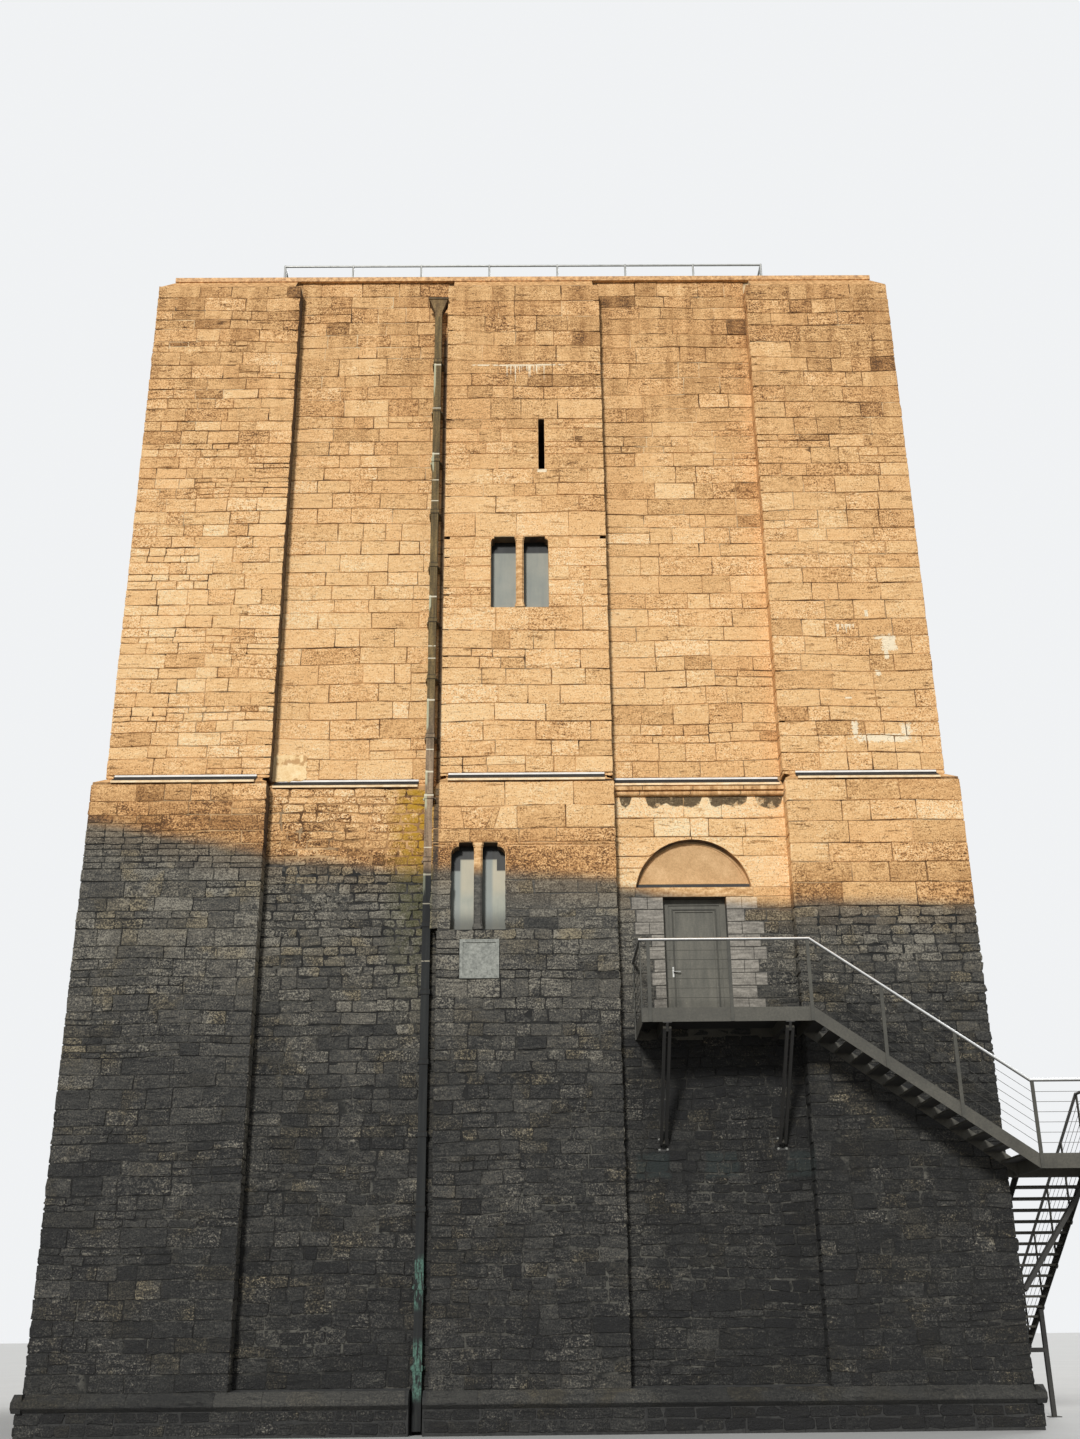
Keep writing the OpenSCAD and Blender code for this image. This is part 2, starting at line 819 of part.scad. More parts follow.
module roof_railing_sides() {
    corner_gap = 2 * roof_rail_d;
    side_l = 2 * (half - rail_back - corner_gap);
    color("gray") for (s = [-1, 1])
        translate([s * rail_half, 0, roof_z]) rotate([0, 0, 90]) roof_rail(side_l, rail_bays + 1);
}

// Steel stair

// A deck plate with an edge plate under all its sides
module framed_deck(low, high, level) {
    block([low[0], low[1], level - tread_t], [high[0], high[1], level]);
    difference() {
        block([low[0], low[1], level - edge_h], [high[0], high[1], level - tread_t]);
        block(
            [low[0] + edge_t, low[1] + edge_t, level - edge_h - over],
            [high[0] - edge_t, high[1] - edge_t, level - tread_t]
        );
    }
}

// The platform has a bearer over each of its struts
module door_platform() {
    color("darkseagreen") {
        framed_deck([platform_x0, stair_y0], [platform_x1, -bay_face], door_level);
        for (x = strut_places)
            block(
                [x - bearer_w / 2, stair_y0, door_level - edge_h],
                [x + bearer_w / 2, -bay_face, door_level - tread_t]
            );
    }
}

// The landing's bearer runs through to the side wall
module corner_landing() {
    color("darkseagreen") {
        framed_deck([landing_x0, stair_y0], [landing_x1, landing_y1], landing_level);
        block(
            [half, landing_bearer_y - bearer_w / 2, landing_level - edge_h],
            [landing_x1, landing_bearer_y + bearer_w / 2, landing_level - tread_t]
        );
    }
}

// A flight is drawn climbing towards -X from its foot at the origin. The noses of its treads lie
// on the line along the top of its edge plates, and each tread runs back under the next one.
module treads(first, risers, run, climb) {
    going = run / risers;
    for (i = [first:risers - 1]) {
        lap = i < risers - 1 ? tread_lap : 0;
        translate([-(i + 1) * going - lap, edge_t, i * climb / risers - tread_t])
            cube([going + lap, flight_w - 2 * edge_t, tread_t]);
    }
}

// The two edge plates of a flight, with the cleats that carry its treads
module edge_plates(first, risers, run, climb) {
    margin = 30;
    going = run / risers;
    for (y = [0, flight_w - edge_t])
        run_y(y, y + edge_t) polygon([[0, -edge_h], [0, 0], [-run, climb], [-run, climb - edge_h]]);
    for (y = [edge_t, flight_w - edge_t - cleat_w], i = [first:risers - 1])
        translate([-(i + 1) * going + margin, y, i * climb / risers - tread_t - cleat_t])
            cube([going - 2 * margin, cleat_w, cleat_t]);
}

// Places of the two flights
module upper_flight() translate([landing_x0, stair_y0, landing_level]) children();
module lower_flight() {
    translate([low_x0, landing_y1 + low_run, 0]) rotate([0, 0, 90]) mirror([0, 1, 0]) children();
}

module upper_flight_treads() {
    color("darkseagreen") upper_flight() treads(0, up_risers, up_run, up_climb);
}

module lower_flight_treads() {
    color("darkseagreen") lower_flight() treads(1, low_risers, low_run, landing_level);
}

// The plates of the lower flight are cut level where they stand on the ground
module stair_stringers() {
    color("darkseagreen") {
        upper_flight() edge_plates(0, up_risers, up_run, up_climb);
        lower_flight() intersection() {
            edge_plates(1, low_risers, low_run, landing_level);
            block([-low_run, 0, 0], [0, flight_w, landing_level]);
        }
    }
}

// A railing panel along X: its posts are bolted to the face of the edge plate at y = 0,
// and its handrail and rods run over their middle from one end to the other
module railing(length, climb, places) {
    pitch = climb / length;
    slope = atan2(climb, length);
    slant = norm([length, climb]);
    reach = abs(climb) + rail_h;
    lowest = climb < 0 ? climb : -edge_h;
    for (place = places) {
        x0 = place - post_w / 2;
        x1 = place + post_w / 2;
        run_y(-post_t, 0) polygon([
            [x0, max(x0 * pitch - edge_h, lowest)], [x1, max(x1 * pitch - edge_h, lowest)],
            [x1, x1 * pitch + post_top], [x0, x0 * pitch + post_top]
        ]);
    }
    intersection() {
        translate([0, -post_t / 2, 0]) {
            sloped_bar(rail_h - handrail_d / 2, handrail_d, slant, slope);
            for (k = [1:rods])
                sloped_bar(k * (rail_h - handrail_d) / (rods + 1), rod_d, slant, slope);
        }
        block([0, -rail_h, -reach], [length, rail_h, 2 * reach]);
    }
}

// A round bar that is long enough to be cut upright at both ends
module sloped_bar(z, d, slant, slope) {
    rotate_by = [0, 90 - slope, 0];
    translate([0, 0, z]) rotate(rotate_by) translate([0, 0, -d]) cylinder(d = d, h = slant + 2 * d, $fn = 16);
}

// The round corner where two level handrails meet
module rail_corner() {
    translate([-post_t / 2, -post_t / 2, rail_h - handrail_d / 2]) sphere(d = handrail_d, $fn = 16);
}

module platform_railing() {
    front_l = platform_x1 - platform_x0;
    side_l = -bay_face - stair_y0;
    color("lightsteelblue") translate([platform_x0, stair_y0, door_level]) {
        railing(front_l, 0, [post_in, (post_in + front_l) / 2, front_l - post_w / 2]);
        translate([0, side_l, 0]) rotate([0, 0, -90])
            railing(side_l, 0, [over + post_w / 2, side_l - post_w / 2]);
        rail_corner();
    }
}

module upper_flight_railing() {
    color("lightsteelblue") upper_flight() mirror([1, 0, 0])
        railing(up_run, up_climb, [up_run / 3, up_run * 2 / 3]);
}

module landing_railing() {
    side_l = landing_y1 - stair_y0;
    color("lightsteelblue") {
        translate([landing_x0, stair_y0, landing_level])
            railing(landing_w, 0, [post_w / 2, landing_w - post_w / 2]);
        translate([landing_x1, stair_y0, landing_level]) {
            rotate([0, 0, 90]) railing(side_l, 0, [over + post_w / 2, side_l - post_w / 2]);
            mirror([1, 0, 0]) rail_corner();
        }
    }
}

module lower_flight_railing() {
    bays = 6;
    pitch = low_run / bays;
    places = concat([for (i = [1:bays - 1]) i * pitch], [low_run - post_w / 2]);
    color("lightsteelblue") translate([landing_x1, landing_y1, landing_level])
        rotate([0, 0, 90]) railing(low_run, -landing_level, places);
}

// The outline of a straight bar between two points
function bar_outline(a, b, depth) =
    let (along = (b - a) / norm(b - a), side = [-along[1], along[0]] * depth / 2)
    [a - side, b - side, b + side, a + side];

// A double raking strut, from a plate on the wall face at y = 0 up to a shoe under an edge at -reach
module double_strut(reach) {
    plate = [200, edge_t, 230];
    shoe = [150, 170, edge_t];
    pin = 80;
    foot_pin = [-pin, -strut_drop];
    head_pin = [-reach + pin, -pin];
    for (x = [-strut_gap / 2 - strut_w, strut_gap / 2])
        run_x(x, x + strut_w) polygon(bar_outline(foot_pin, head_pin, strut_h));
    run_x(-strut_gap / 2, strut_gap / 2) {
        polygon([
            [-edge_t, foot_pin[1] - pin], foot_pin - [strut_h, 0], foot_pin + [0, strut_h],
            [-edge_t, foot_pin[1] + pin]
        ]);
        polygon([[-reach, -edge_t], head_pin - [0, strut_h], [-reach + shoe[1], -edge_t]]);
    }
    translate([-plate[0] / 2, -plate[1], -strut_drop - plate[2] / 2]) cube(plate);
    translate([-shoe[0] / 2, -reach, -shoe[2]]) cube(shoe);
}

module stair_struts() {
    color("darkseagreen") {
        for (x = strut_places)
            translate([x, -bay_face, door_level - edge_h]) double_strut(-bay_face - stair_y0);
        translate([half, landing_bearer_y, landing_level - edge_h]) rotate([0, 0, 90])
            double_strut(landing_x1 - half);
    }
}

// Height of the lower edge of the lower flight
function under_flight(y) = landing_level * (1 - (y - landing_y1) / low_run) - edge_h - seat;

// Pair of legs under the lower flight, with foot plates and a cross bar
module lower_flight_legs() {
    leg_y = landing_y1 + low_run / 2;
    foot = [220, 220, edge_t];
    color("darkseagreen") {
        for (x = [low_x0, landing_x1 - leg_w]) {
            run_x(x, x + leg_w) polygon([
                [leg_y, 0], [leg_y + leg_w, 0],
                [leg_y + leg_w, under_flight(leg_y + leg_w)], [leg_y, under_flight(leg_y)]
            ]);
            translate([x + (leg_w - foot[0]) / 2, leg_y + (leg_w - foot[1]) / 2, 0]) cube(foot);
        }
        block([low_x0, leg_y, leg_bar_z], [landing_x1, leg_y + leg_w, leg_bar_z + leg_w]);
    }
}

ground_floor();
front_plinth();
back_plinth();
left_plinth();
right_plinth();
plinth_ledges();
corner_front_left();
corner_front_right();
corner_back_left();
corner_back_right();
front_left_bay();
door_bay_below();
door_bay_jambs();
door_bay_above();
front_pilaster();
front_window_jambs();
left_bays();
left_pilaster();
left_window_jambs();
right_bays();
right_pilaster();
right_window_jambs();
back_bays();
back_pilaster();
back_window_jambs();
door_floor();
hall_floor();
roof_deck();
roof_covering();
door_lintel();
arch_panel();
door_frame();
door_leaf();
door_handle();
string_course();
pilaster_patch();
offset_flashings();
vent_cover();
rainwater_hopper();
downpipe();
window_glass();
roof_railing_front_back();
roof_railing_sides();
door_platform();
platform_railing();
upper_flight_treads();
upper_flight_railing();
corner_landing();
landing_railing();
stair_stringers();
stair_struts();
lower_flight_treads();
lower_flight_railing();
lower_flight_legs();
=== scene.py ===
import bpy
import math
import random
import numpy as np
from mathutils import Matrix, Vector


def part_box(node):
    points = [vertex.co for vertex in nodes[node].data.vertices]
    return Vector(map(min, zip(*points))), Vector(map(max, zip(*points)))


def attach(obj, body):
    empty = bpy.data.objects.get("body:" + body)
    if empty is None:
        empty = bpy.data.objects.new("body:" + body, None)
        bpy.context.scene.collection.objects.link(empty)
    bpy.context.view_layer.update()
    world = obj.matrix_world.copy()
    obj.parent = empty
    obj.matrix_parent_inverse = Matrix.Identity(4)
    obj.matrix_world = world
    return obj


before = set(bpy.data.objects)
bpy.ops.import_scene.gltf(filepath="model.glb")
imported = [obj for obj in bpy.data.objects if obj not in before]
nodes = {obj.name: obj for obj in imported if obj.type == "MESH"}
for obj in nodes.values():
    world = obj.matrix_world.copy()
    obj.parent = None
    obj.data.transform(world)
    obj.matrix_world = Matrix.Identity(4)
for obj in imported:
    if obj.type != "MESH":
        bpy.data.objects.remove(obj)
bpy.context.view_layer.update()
# %% [markdown]
# # A stone castle keep, dressed over its solid model
# The solid model gives every wall, window, pipe and stair tread in its true place.
# What it lacks is what makes a keep look like one: the single stones, their joints,
# the weathered limestone, lead, paint and rust. This file adds those, in metres,
# in the same frame as the solids. Nothing solid is moved.

# %% [markdown]
# ## The levels of the tower
# A mason works from a few levels and wall faces. They are read from the solids
# here, so the stones keep to the walls if a size changes there.

# %% Read the wall faces and levels


def points_of(node):
    return np.array([v.co for v in nodes[node].data.vertices], float).reshape(-1, 3)


def near(value, places=4):
    return round(float(value), places)


corner_low, corner_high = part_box("corner_front_right")
face = near(corner_high.x)
corner_in = near(corner_low.x)
centre_half = near(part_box("front_pilaster")[1].x)
bay_face = near(-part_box("front_left_bay")[0].y)
foot_z = near(corner_low.z)
top_z = near(corner_high.z)
bay_points = points_of("front_left_bay")
outer = bay_points[bay_points[:, 1] < -bay_face + 1e-3]
offset_z = near(outer[:, 2].max())
top_outer = bay_points[bay_points[:, 2] > top_z - 1e-3]
up_bay_face = near(-top_outer[:, 1].min())
over_offset = bay_points[(bay_points[:, 1] < -up_bay_face + 1e-3) & (bay_points[:, 2] > offset_z + 1e-3)]
slope_top = near(over_offset[:, 2].min())
up_face = near(up_bay_face + face - bay_face)
pilaster_points = points_of("front_pilaster")
high_points = pilaster_points[pilaster_points[:, 2] > top_z - 1.0]
up_centre_half = near(high_points[:, 0].max())
side_in = centre_half - up_centre_half
up_corner_in = corner_in + side_in
cap_z = near(high_points[high_points[:, 1] < -up_face + 1e-3][:, 2].max())
lead_low, lead_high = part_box("offset_flashings")
drip_z, upstand_z = near(lead_low.z), near(lead_high.z)
pipe_low, pipe_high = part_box("downpipe")
hopper_top = near(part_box("rainwater_hopper")[1].z)


def lead_spans(distance):
    """Stretches of the front that lead covers, on the upper face at this distance."""
    points = points_of("offset_flashings")
    top = points[(points[:, 2] > upstand_z - 1e-3) & (np.abs(points[:, 1] + distance) < 1e-3)]
    xs = sorted({near(x) for x in top[:, 0]})
    return list(zip(xs[::2], xs[1::2]))


print("faces", face, bay_face, up_face, up_bay_face, "levels", foot_z, offset_z, slope_top, cap_z, top_z)
print("lead covers", lead_spans(up_face), lead_spans(up_bay_face), "from", drip_z, "to", upstand_z)

# %% [markdown]
# ## Sums on shader sockets
# A finish such as old limestone is a sum of many thin layers: bedding, grain,
# stains, joints. Nodes could be added one call at a time, but the sums would be
# hard to read. A small class wraps one socket, and its operators add the nodes.

# %% A socket that can be added, multiplied and mixed


class Wire:
    """One output socket of a finish, used in sums like a number."""

    def __init__(self, socket):
        self.socket = socket
        self.tree = socket.id_data

    @staticmethod
    def make(tree, kind, settings=None, inputs=None, out=0):
        node = tree.nodes.new(kind)
        for name, value in (settings or {}).items():
            if name == "stops":
                spread_stops(node.color_ramp, value)
            else:
                setattr(node, name, value)
        for key, value in (inputs or {}).items():
            if isinstance(value, Wire):
                tree.links.new(value.socket, node.inputs[key])
            else:
                node.inputs[key].default_value = value
        return Wire(node.outputs[out])

    def sum_with(self, other, operation, turned=False):
        plain = self.socket.type == "VALUE" and not (isinstance(other, Wire) and other.socket.type != "VALUE")
        if not plain and not isinstance(other, Wire):
            other = (other, other, other)
        first, second = (other, self) if turned else (self, other)
        kind = "ShaderNodeMath" if plain else "ShaderNodeVectorMath"
        return Wire.make(self.tree, kind, {"operation": operation}, {0: first, 1: second})

    def __add__(self, other):
        return self.sum_with(other, "ADD")

    __radd__ = __add__

    def __sub__(self, other):
        return self.sum_with(other, "SUBTRACT")

    def __rsub__(self, other):
        return self.sum_with(other, "SUBTRACT", True)

    def __mul__(self, other):
        return self.sum_with(other, "MULTIPLY")

    __rmul__ = __mul__

    def __truediv__(self, other):
        return self.sum_with(other, "DIVIDE")

    def __gt__(self, other):
        return self.sum_with(other, "GREATER_THAN")

    def __lt__(self, other):
        return self.sum_with(other, "LESS_THAN")

    def largest(self, other):
        return self.sum_with(other, "MAXIMUM")

    def size(self):
        return Wire.make(self.tree, "ShaderNodeMath", {"operation": "ABSOLUTE"}, {0: self})

    def part(self, axis):
        return Wire.make(self.tree, "ShaderNodeSeparateXYZ", {}, {0: self}, "XYZ".index(axis))

    def joined(self, y, z):
        """A vector with this number as its X."""
        return Wire.make(self.tree, "ShaderNodeCombineXYZ", {}, {0: self, 1: y, 2: z})

    def step(self, low, high):
        """0 below low, 1 above high, smooth between."""
        inputs = {"Value": self, "From Min": low, "From Max": high}
        return Wire.make(self.tree, "ShaderNodeMapRange", {"interpolation_type": "SMOOTHSTEP"}, inputs)

    def band(self, rise, fall):
        """1 between two soft edges. Each edge is the pair of values where it starts and where it ends."""
        return self.step(*rise) * (1 - self.step(*fall))

    def ramp(self, *stops):
        return Wire.make(self.tree, "ShaderNodeValToRGB", {"stops": stops}, {0: self})

    def stretched(self, x, y, z):
        return Wire.make(self.tree, "ShaderNodeVectorMath", {"operation": "MULTIPLY"}, {0: self, 1: (x, y, z)})

    def noise(self, scale, detail=3.0, roughness=0.55, warp=0.0):
        inputs = {"Vector": self, "Scale": scale, "Detail": detail, "Roughness": roughness, "Distortion": warp}
        return Wire.make(self.tree, "ShaderNodeTexNoise", {}, inputs)

    def cells(self, scale):
        """Distance to the nearest of many scattered points."""
        return Wire.make(self.tree, "ShaderNodeTexVoronoi", {}, {"Vector": self, "Scale": scale})

    def mixed(self, first, second):
        """first where this mask is 0, second where it is 1."""
        return Wire.make(self.tree, "ShaderNodeMix", {"data_type": "RGBA"}, {0: self, 6: first, 7: second}, 2)


def spread_stops(ramp, stops):
    while len(ramp.elements) < len(stops):
        ramp.elements.new(0.5)
    for element, (place, colour) in zip(ramp.elements, stops):
        element.position = place
        element.color = colour


print("sockets can be summed")

# %% [markdown]
# ## Colours and the close of a finish
# Colours are noted as a painter reads them off a wall, from 0 to 255, and turned
# into the linear light that the renderer works in. Every finish then ends in the
# same way: a colour, a roughness and a height that becomes a bump.

# %% Colour notes and the end of every finish


def tint(red, green, blue):
    """A colour noted from 0 to 255, in linear light."""
    shares = (red / 255, green / 255, blue / 255)
    return (*[v / 12.92 if v <= 0.04045 else ((v + 0.055) / 1.055) ** 2.4 for v in shares], 1.0)


def start_finish(name):
    """A new material, and the place of each point of the piece, in metres."""
    material = bpy.data.materials.new(name)
    material.use_nodes = True
    return material, Wire.make(material.node_tree, "ShaderNodeTexCoord", {}, {}, 3)


def end_finish(material, colour, roughness, height, depth=0.01, strength=0.6, metallic=0.0):
    """Plugs the sums into the material's shader. The height is a bump, as deep as depth in metres."""
    tree = material.node_tree
    shader = tree.nodes["Principled BSDF"]
    for key, value in (("Base Color", colour), ("Roughness", roughness), ("Metallic", metallic)):
        if isinstance(value, Wire):
            tree.links.new(value.socket, shader.inputs[key])
        else:
            shader.inputs[key].default_value = value
    bump = Wire.make(tree, "ShaderNodeBump", {}, {"Height": height, "Strength": strength, "Distance": depth})
    tree.links.new(bump.socket, shader.inputs["Normal"])
    return material


finishes = {}
print("limestone is noted as", [round(v, 3) for v in tint(226, 182, 128)])

# %% [markdown]
# ## Where the painted sunlight ends
# The tower's upper part is warm, partly its own stone colour and partly painted
# sunlight. Its lower part is cold and dark, a painted cast shadow over the same stone.
# The two meet along a soft line, the painted shadow's edge, that falls slowly towards
# the right-hand side.
# One mask gives that line to every finish on the walls, so joints, stones and pipe
# change colour together. The line is noted as places along the front and heights.

# %% The mask between sunlit and shaded stone
SHADOW_LINE = (
    (-8.25, 10.52), (-6.4, 10.15), (-4.95, 9.89), (-2.0, 9.58), (-0.1, 9.42), (1.64, 9.34),
    (1.75, 9.22), (2.55, 9.08), (3.3, 8.99), (5.0, 8.90), (8.25, 8.77),
)
SHADOW_EDGE = (-0.17, 0.18)
FRONT_LIMIT = -7.0


def on_front(place):
    """1 on the front wall and its fittings, 0 on what lies behind."""
    return place.part("Y") < FRONT_LIMIT


def along_wall(place, rows, low, high):
    """A value that changes along the front, from rows of (x, value). It is kept as the greys of a ramp."""
    left, right = rows[0][0], rows[-1][0]
    stops = [((x - left) / (right - left), ((value - low) / (high - low),) * 3 + (1.0,)) for x, value in rows]
    return ((place.part("X") - left) / (right - left)).ramp(*stops).part("X") * (high - low) + low


def above_shadow_line(place):
    """Metres above the painted shadow's edge, which noise moves a little."""
    return place.part("Z") - along_wall(place, SHADOW_LINE, 8.0, 11.0) + (place.noise(1.1, 3.0) - 0.5) * 0.22


def sunlit_part(place):
    """1 on the stone painted sunlit, 0 on the stone painted in shade."""
    return above_shadow_line(place).step(*SHADOW_EDGE)


print("warm stone starts at", SHADOW_LINE[0][1], "m on the left and", SHADOW_LINE[-1][1], "m on the right")

# %% [markdown]
# ## Weathered limestone
# Each stone has its own tone, kept as an attribute on its faces. The finish spreads
# it over a palette from brown to cream where the stone is painted sunlit, or from
# charcoal to pale grey where it is painted in shade. Thin horizontal bedding, blotches,
# fine grain and small pits lie over it.
# A picture could give this too, but it would repeat and blur: nodes stay sharp.

# %% Palettes and masks of the limestone
# Palettes of the stone as it looks painted sunlit and painted in shade.
SUNLIT_STOPS = (
    (0.0, tint(92, 62, 32)),
    (0.2, tint(168, 121, 71)),
    (0.5, tint(236, 188, 129)),
    (0.75, tint(254, 213, 157)),
    (1.0, tint(255, 238, 198)),
)
SHADE_STOPS = (
    (0.0, tint(15, 15, 15)),
    (0.25, tint(40, 40, 38)),
    (0.5, tint(68, 67, 63)),
    (0.75, tint(100, 96, 87)),
    (1.0, tint(146, 141, 128)),
)
# Browns of the painted half-light just under the shadow's edge.
PENUMBRA_STOPS = ((0.0, tint(52, 42, 30)), (0.5, tint(118, 100, 76)), (1.0, tint(176, 154, 120)))
SOOT_STOPS = ((0.2, tint(40, 32, 20)), (0.8, tint(116, 96, 66)))
DOOR_BAY = ((1.6, 1.8), (4.9, 5.0))
WASHED_STONES = (1.75, 4.93, 10.62, 11.25)
DRAIN_STAIN = (4.12, 4.62, 0.7, 6.0)
GREEN_STAINS = ((1.88, 2.46), (3.10, 3.67), (4.52, 4.95))


def face_value(place, name):
    """A number that was kept on the faces of the stones."""
    return Wire.make(place.tree, "ShaderNodeAttribute", {"attribute_name": name}, {}, 2)


def box_mask(place, left, right, low, high, soft=0.04):
    """1 inside an upright rectangle of the front, fading over a soft edge that noise moves a little."""
    x, z = place.part("X"), place.part("Z")
    ragged = (place.noise(4.0, 3.0) - 0.5) * soft * 3
    across = (x - (left + right) / 2).size() - (right - left) / 2 + ragged
    up = (z - (low + high) / 2).size() - (high - low) / 2 + ragged
    return (1 - across.largest(up).step(-soft, soft)) * on_front(place)


def shade_level(place):
    """How dark the shaded palette is: darker towards the ground and at the foot of the wall, with painted shade near
    the stair and deepest painted shade under the platform.
    """
    x, z = place.part("X"), place.part("Z")
    # The first two masks are painted shade, beside the stair and under the platform.
    stair = x.step(1.7, 2.4) * (1 - z.step(6.4, 8.2)) * (0.225 - x.step(4.8, 5.2) * 0.04)
    below = z.band((4.9, 6.1), (6.44, 6.56)) * x.band((1.6, 1.9), (4.8, 5.2)) * on_front(place)
    foot = (1 - z.step(0.6, 4.4)) * (1 - x.step(1.4, 2.2)) * z.step(0.66, 0.70)
    base = 1 - z.step(0.42, 0.52)
    level = 0.343 + z.step(4.6, 8.9) * 0.36 - stair - foot * 0.17 - below * 0.26 - base * 0.22
    return level - box_mask(place, *DRAIN_STAIN, 0.22) * 0.11


def pipe_shade(place):
    """The strip right of the rain pipe, from the ground to the hopper: the pipe's painted shadow."""
    x, z = place.part("X") - near(pipe_high.x), place.part("Z") - hopper_top
    return x.band((-0.02, 0.0), (0.07, 0.11)) * (1 - z.step(-0.9, -0.6)) * on_front(place) * 0.82


print("the washed stones over the door lie between", WASHED_STONES[2], "and", WASHED_STONES[3], "m")

# %% [markdown]
# Yellow lichen follows the wet strip behind the rain pipe. Its mask is a narrow
# upright band, broken up by noise, and it is part of the stone's finish because it
# has no thickness of its own.

# %% Lichen beside the rain pipe
LICHEN_X = -1.98


def lichen(place):
    x, z = place.part("X"), place.part("Z")
    width = 1 - (x - LICHEN_X).size().step(0.16, 0.85)
    span = z.step(6.4, 9.6) * 0.75 + z.step(9.4, 10.0) * 0.25
    limits = on_front(place) * (1 - z.step(11.15, 11.4)) * (1 - x.step(-1.82, -1.70))
    return width * span * limits * place.noise(5.5, 5.0, 0.75).step(0.32, 0.54)


print("lichen grows", round(pipe_low.x - LICHEN_X, 2), "m left of the pipe")

# %% [markdown]
# Soot hangs in scallops under the moulded string over the door, where rain never
# washes it off. How far it hangs down is kept, like the line, as the greys of a ramp
# along the wall: one small scallop, and three wide ones with lumpy hems.

# %% Soot under the string over the door
SOOT_TOP, SOOT_DEEP = 11.03, 0.3
HEM = (
    (1.77, 0.0), (1.82, 0.20), (1.90, 0.24), (1.98, 0.16), (2.03, 0.0),
    (2.27, 0.0), (2.33, 0.20), (2.44, 0.26), (2.60, 0.19), (2.68, 0.15),
    (2.80, 0.22), (3.00, 0.20), (3.15, 0.24), (3.30, 0.21), (3.39, 0.0),
    (3.49, 0.0), (3.54, 0.20), (3.62, 0.24), (3.78, 0.18), (3.95, 0.22), (4.12, 0.20), (4.22, 0.12), (4.25, 0.0),
    (4.38, 0.0), (4.44, 0.20), (4.55, 0.25), (4.70, 0.28), (4.86, 0.23), (4.94, 0.0),
)


def soot(place):
    z = place.part("Z")
    depth = along_wall(place, HEM, 0.0, SOOT_DEEP)
    ragged = (place.noise(11.0, 3.0) - 0.5) * 0.07
    shape = (z - SOOT_TOP + depth + ragged).step(0.0, 0.03) * (depth > 0.02)
    shape = shape * (1 - z.step(SOOT_TOP, SOOT_TOP + 0.03))
    return shape * (place.noise(6.0, 4.0, 0.7).step(0.36, 0.50) * 0.65 + 0.35) * on_front(place)


print("soot hangs down", max(deep for at, deep in HEM), "m at most")

# %% [markdown]
# Lime has run out of a joint high up and hangs below it in drips, and thin scraps of
# old limewash are left on the right-hand side. They are films, thinner than a coat of
# paint, so they are masks in the finish of the front's upper stones.

# %% Lime films on the upper front
LIME_JOINT_Z, COMB_Z, COMB_X = 20.90, 14.62, 6.41
SCRAPS = (
    (6.38, 7.48, 12.07, 12.24, 0.9), (6.36, 6.47, 12.18, 12.54, 0.9), (7.32, 7.50, 12.12, 12.46, 1.3),
    (7.10, 7.40, 14.02, 14.37, 0.7), (7.14, 7.23, 13.84, 14.08, 0.4), (6.97, 7.16, 14.28, 14.37, 0.9),
    (6.83, 6.90, 14.78, 14.93, 0.4), (6.93, 7.04, 13.48, 13.60, 0.8), (6.28, 6.42, 12.99, 13.03, 0.3),
    (0.26, 0.47, 18.20, 18.28, 0.1),
)


def scrap(place, left, right, low, high, ragged):
    """A mask over a rectangle whose edge is broken up by noise."""
    x, z = place.part("X"), place.part("Z")
    across = (x - (left + right) / 2).size() / ((right - left) / 2)
    up = (z - (low + high) / 2).size() / ((high - low) / 2)
    noise = place.noise(16.0, 3.0, 0.7) - 0.5
    return 1 - (across.largest(up) + noise * ragged * 3.0).step(0.8, 1.05)


def drips(place, top, bottom, pitch, level, taper):
    """Runs that hang below a height, each as long as noise along the wall gives it."""
    z = place.part("Z")
    run = (place.part("X").joined(0.0, 0.0) * pitch).noise(1.0, 2.0, 0.8) - level
    return (run - (top - z) * taper).step(0.0, 0.03) * (z < top) * (z > bottom)


def lime(place):
    x, z = place.part("X"), place.part("Z")
    joint = 1 - (z - LIME_JOINT_Z).size().step(0.012, 0.024)
    joint = joint * x.band((-1.16, -1.05), (0.75, 0.95)) * place.noise(6.0, 3.0).step(0.34, 0.46)
    long_drips = drips(place, LIME_JOINT_Z, 20.3, 13.0, 0.47, 0.42) * (1 - x.size().step(0.38, 0.52))
    comb = drips(place, COMB_Z, 14.4, 17.0, 0.44, 0.9) * (1 - (x - COMB_X).size().step(0.16, 0.21))
    white = joint.largest(long_drips).largest(comb)
    for row in SCRAPS:
        white = white.largest(scrap(place, *row))
    return white * on_front(place)


print("scraps of limewash:", len(SCRAPS))

# %% [markdown]
# The finish itself puts all this together. Stones painted sunlit darken near the line
# in a painted half-shade, those of the left bay are rugged, and a painted brown
# half-light on the stones painted in shade just below the line softens the change.

# %% The limestone finish


def half_shade_share(x):
    """How deep the painted half-shade on the sunlit stone is towards the line, from bay to bay."""
    share = 1.25 - x.step(-5.0, -4.8) * 0.22 - x.step(-2.6, -1.4) * 0.02 - x.step(1.6, 1.8) * 0.36
    return share - x.band(*DOOR_BAY) * 0.63


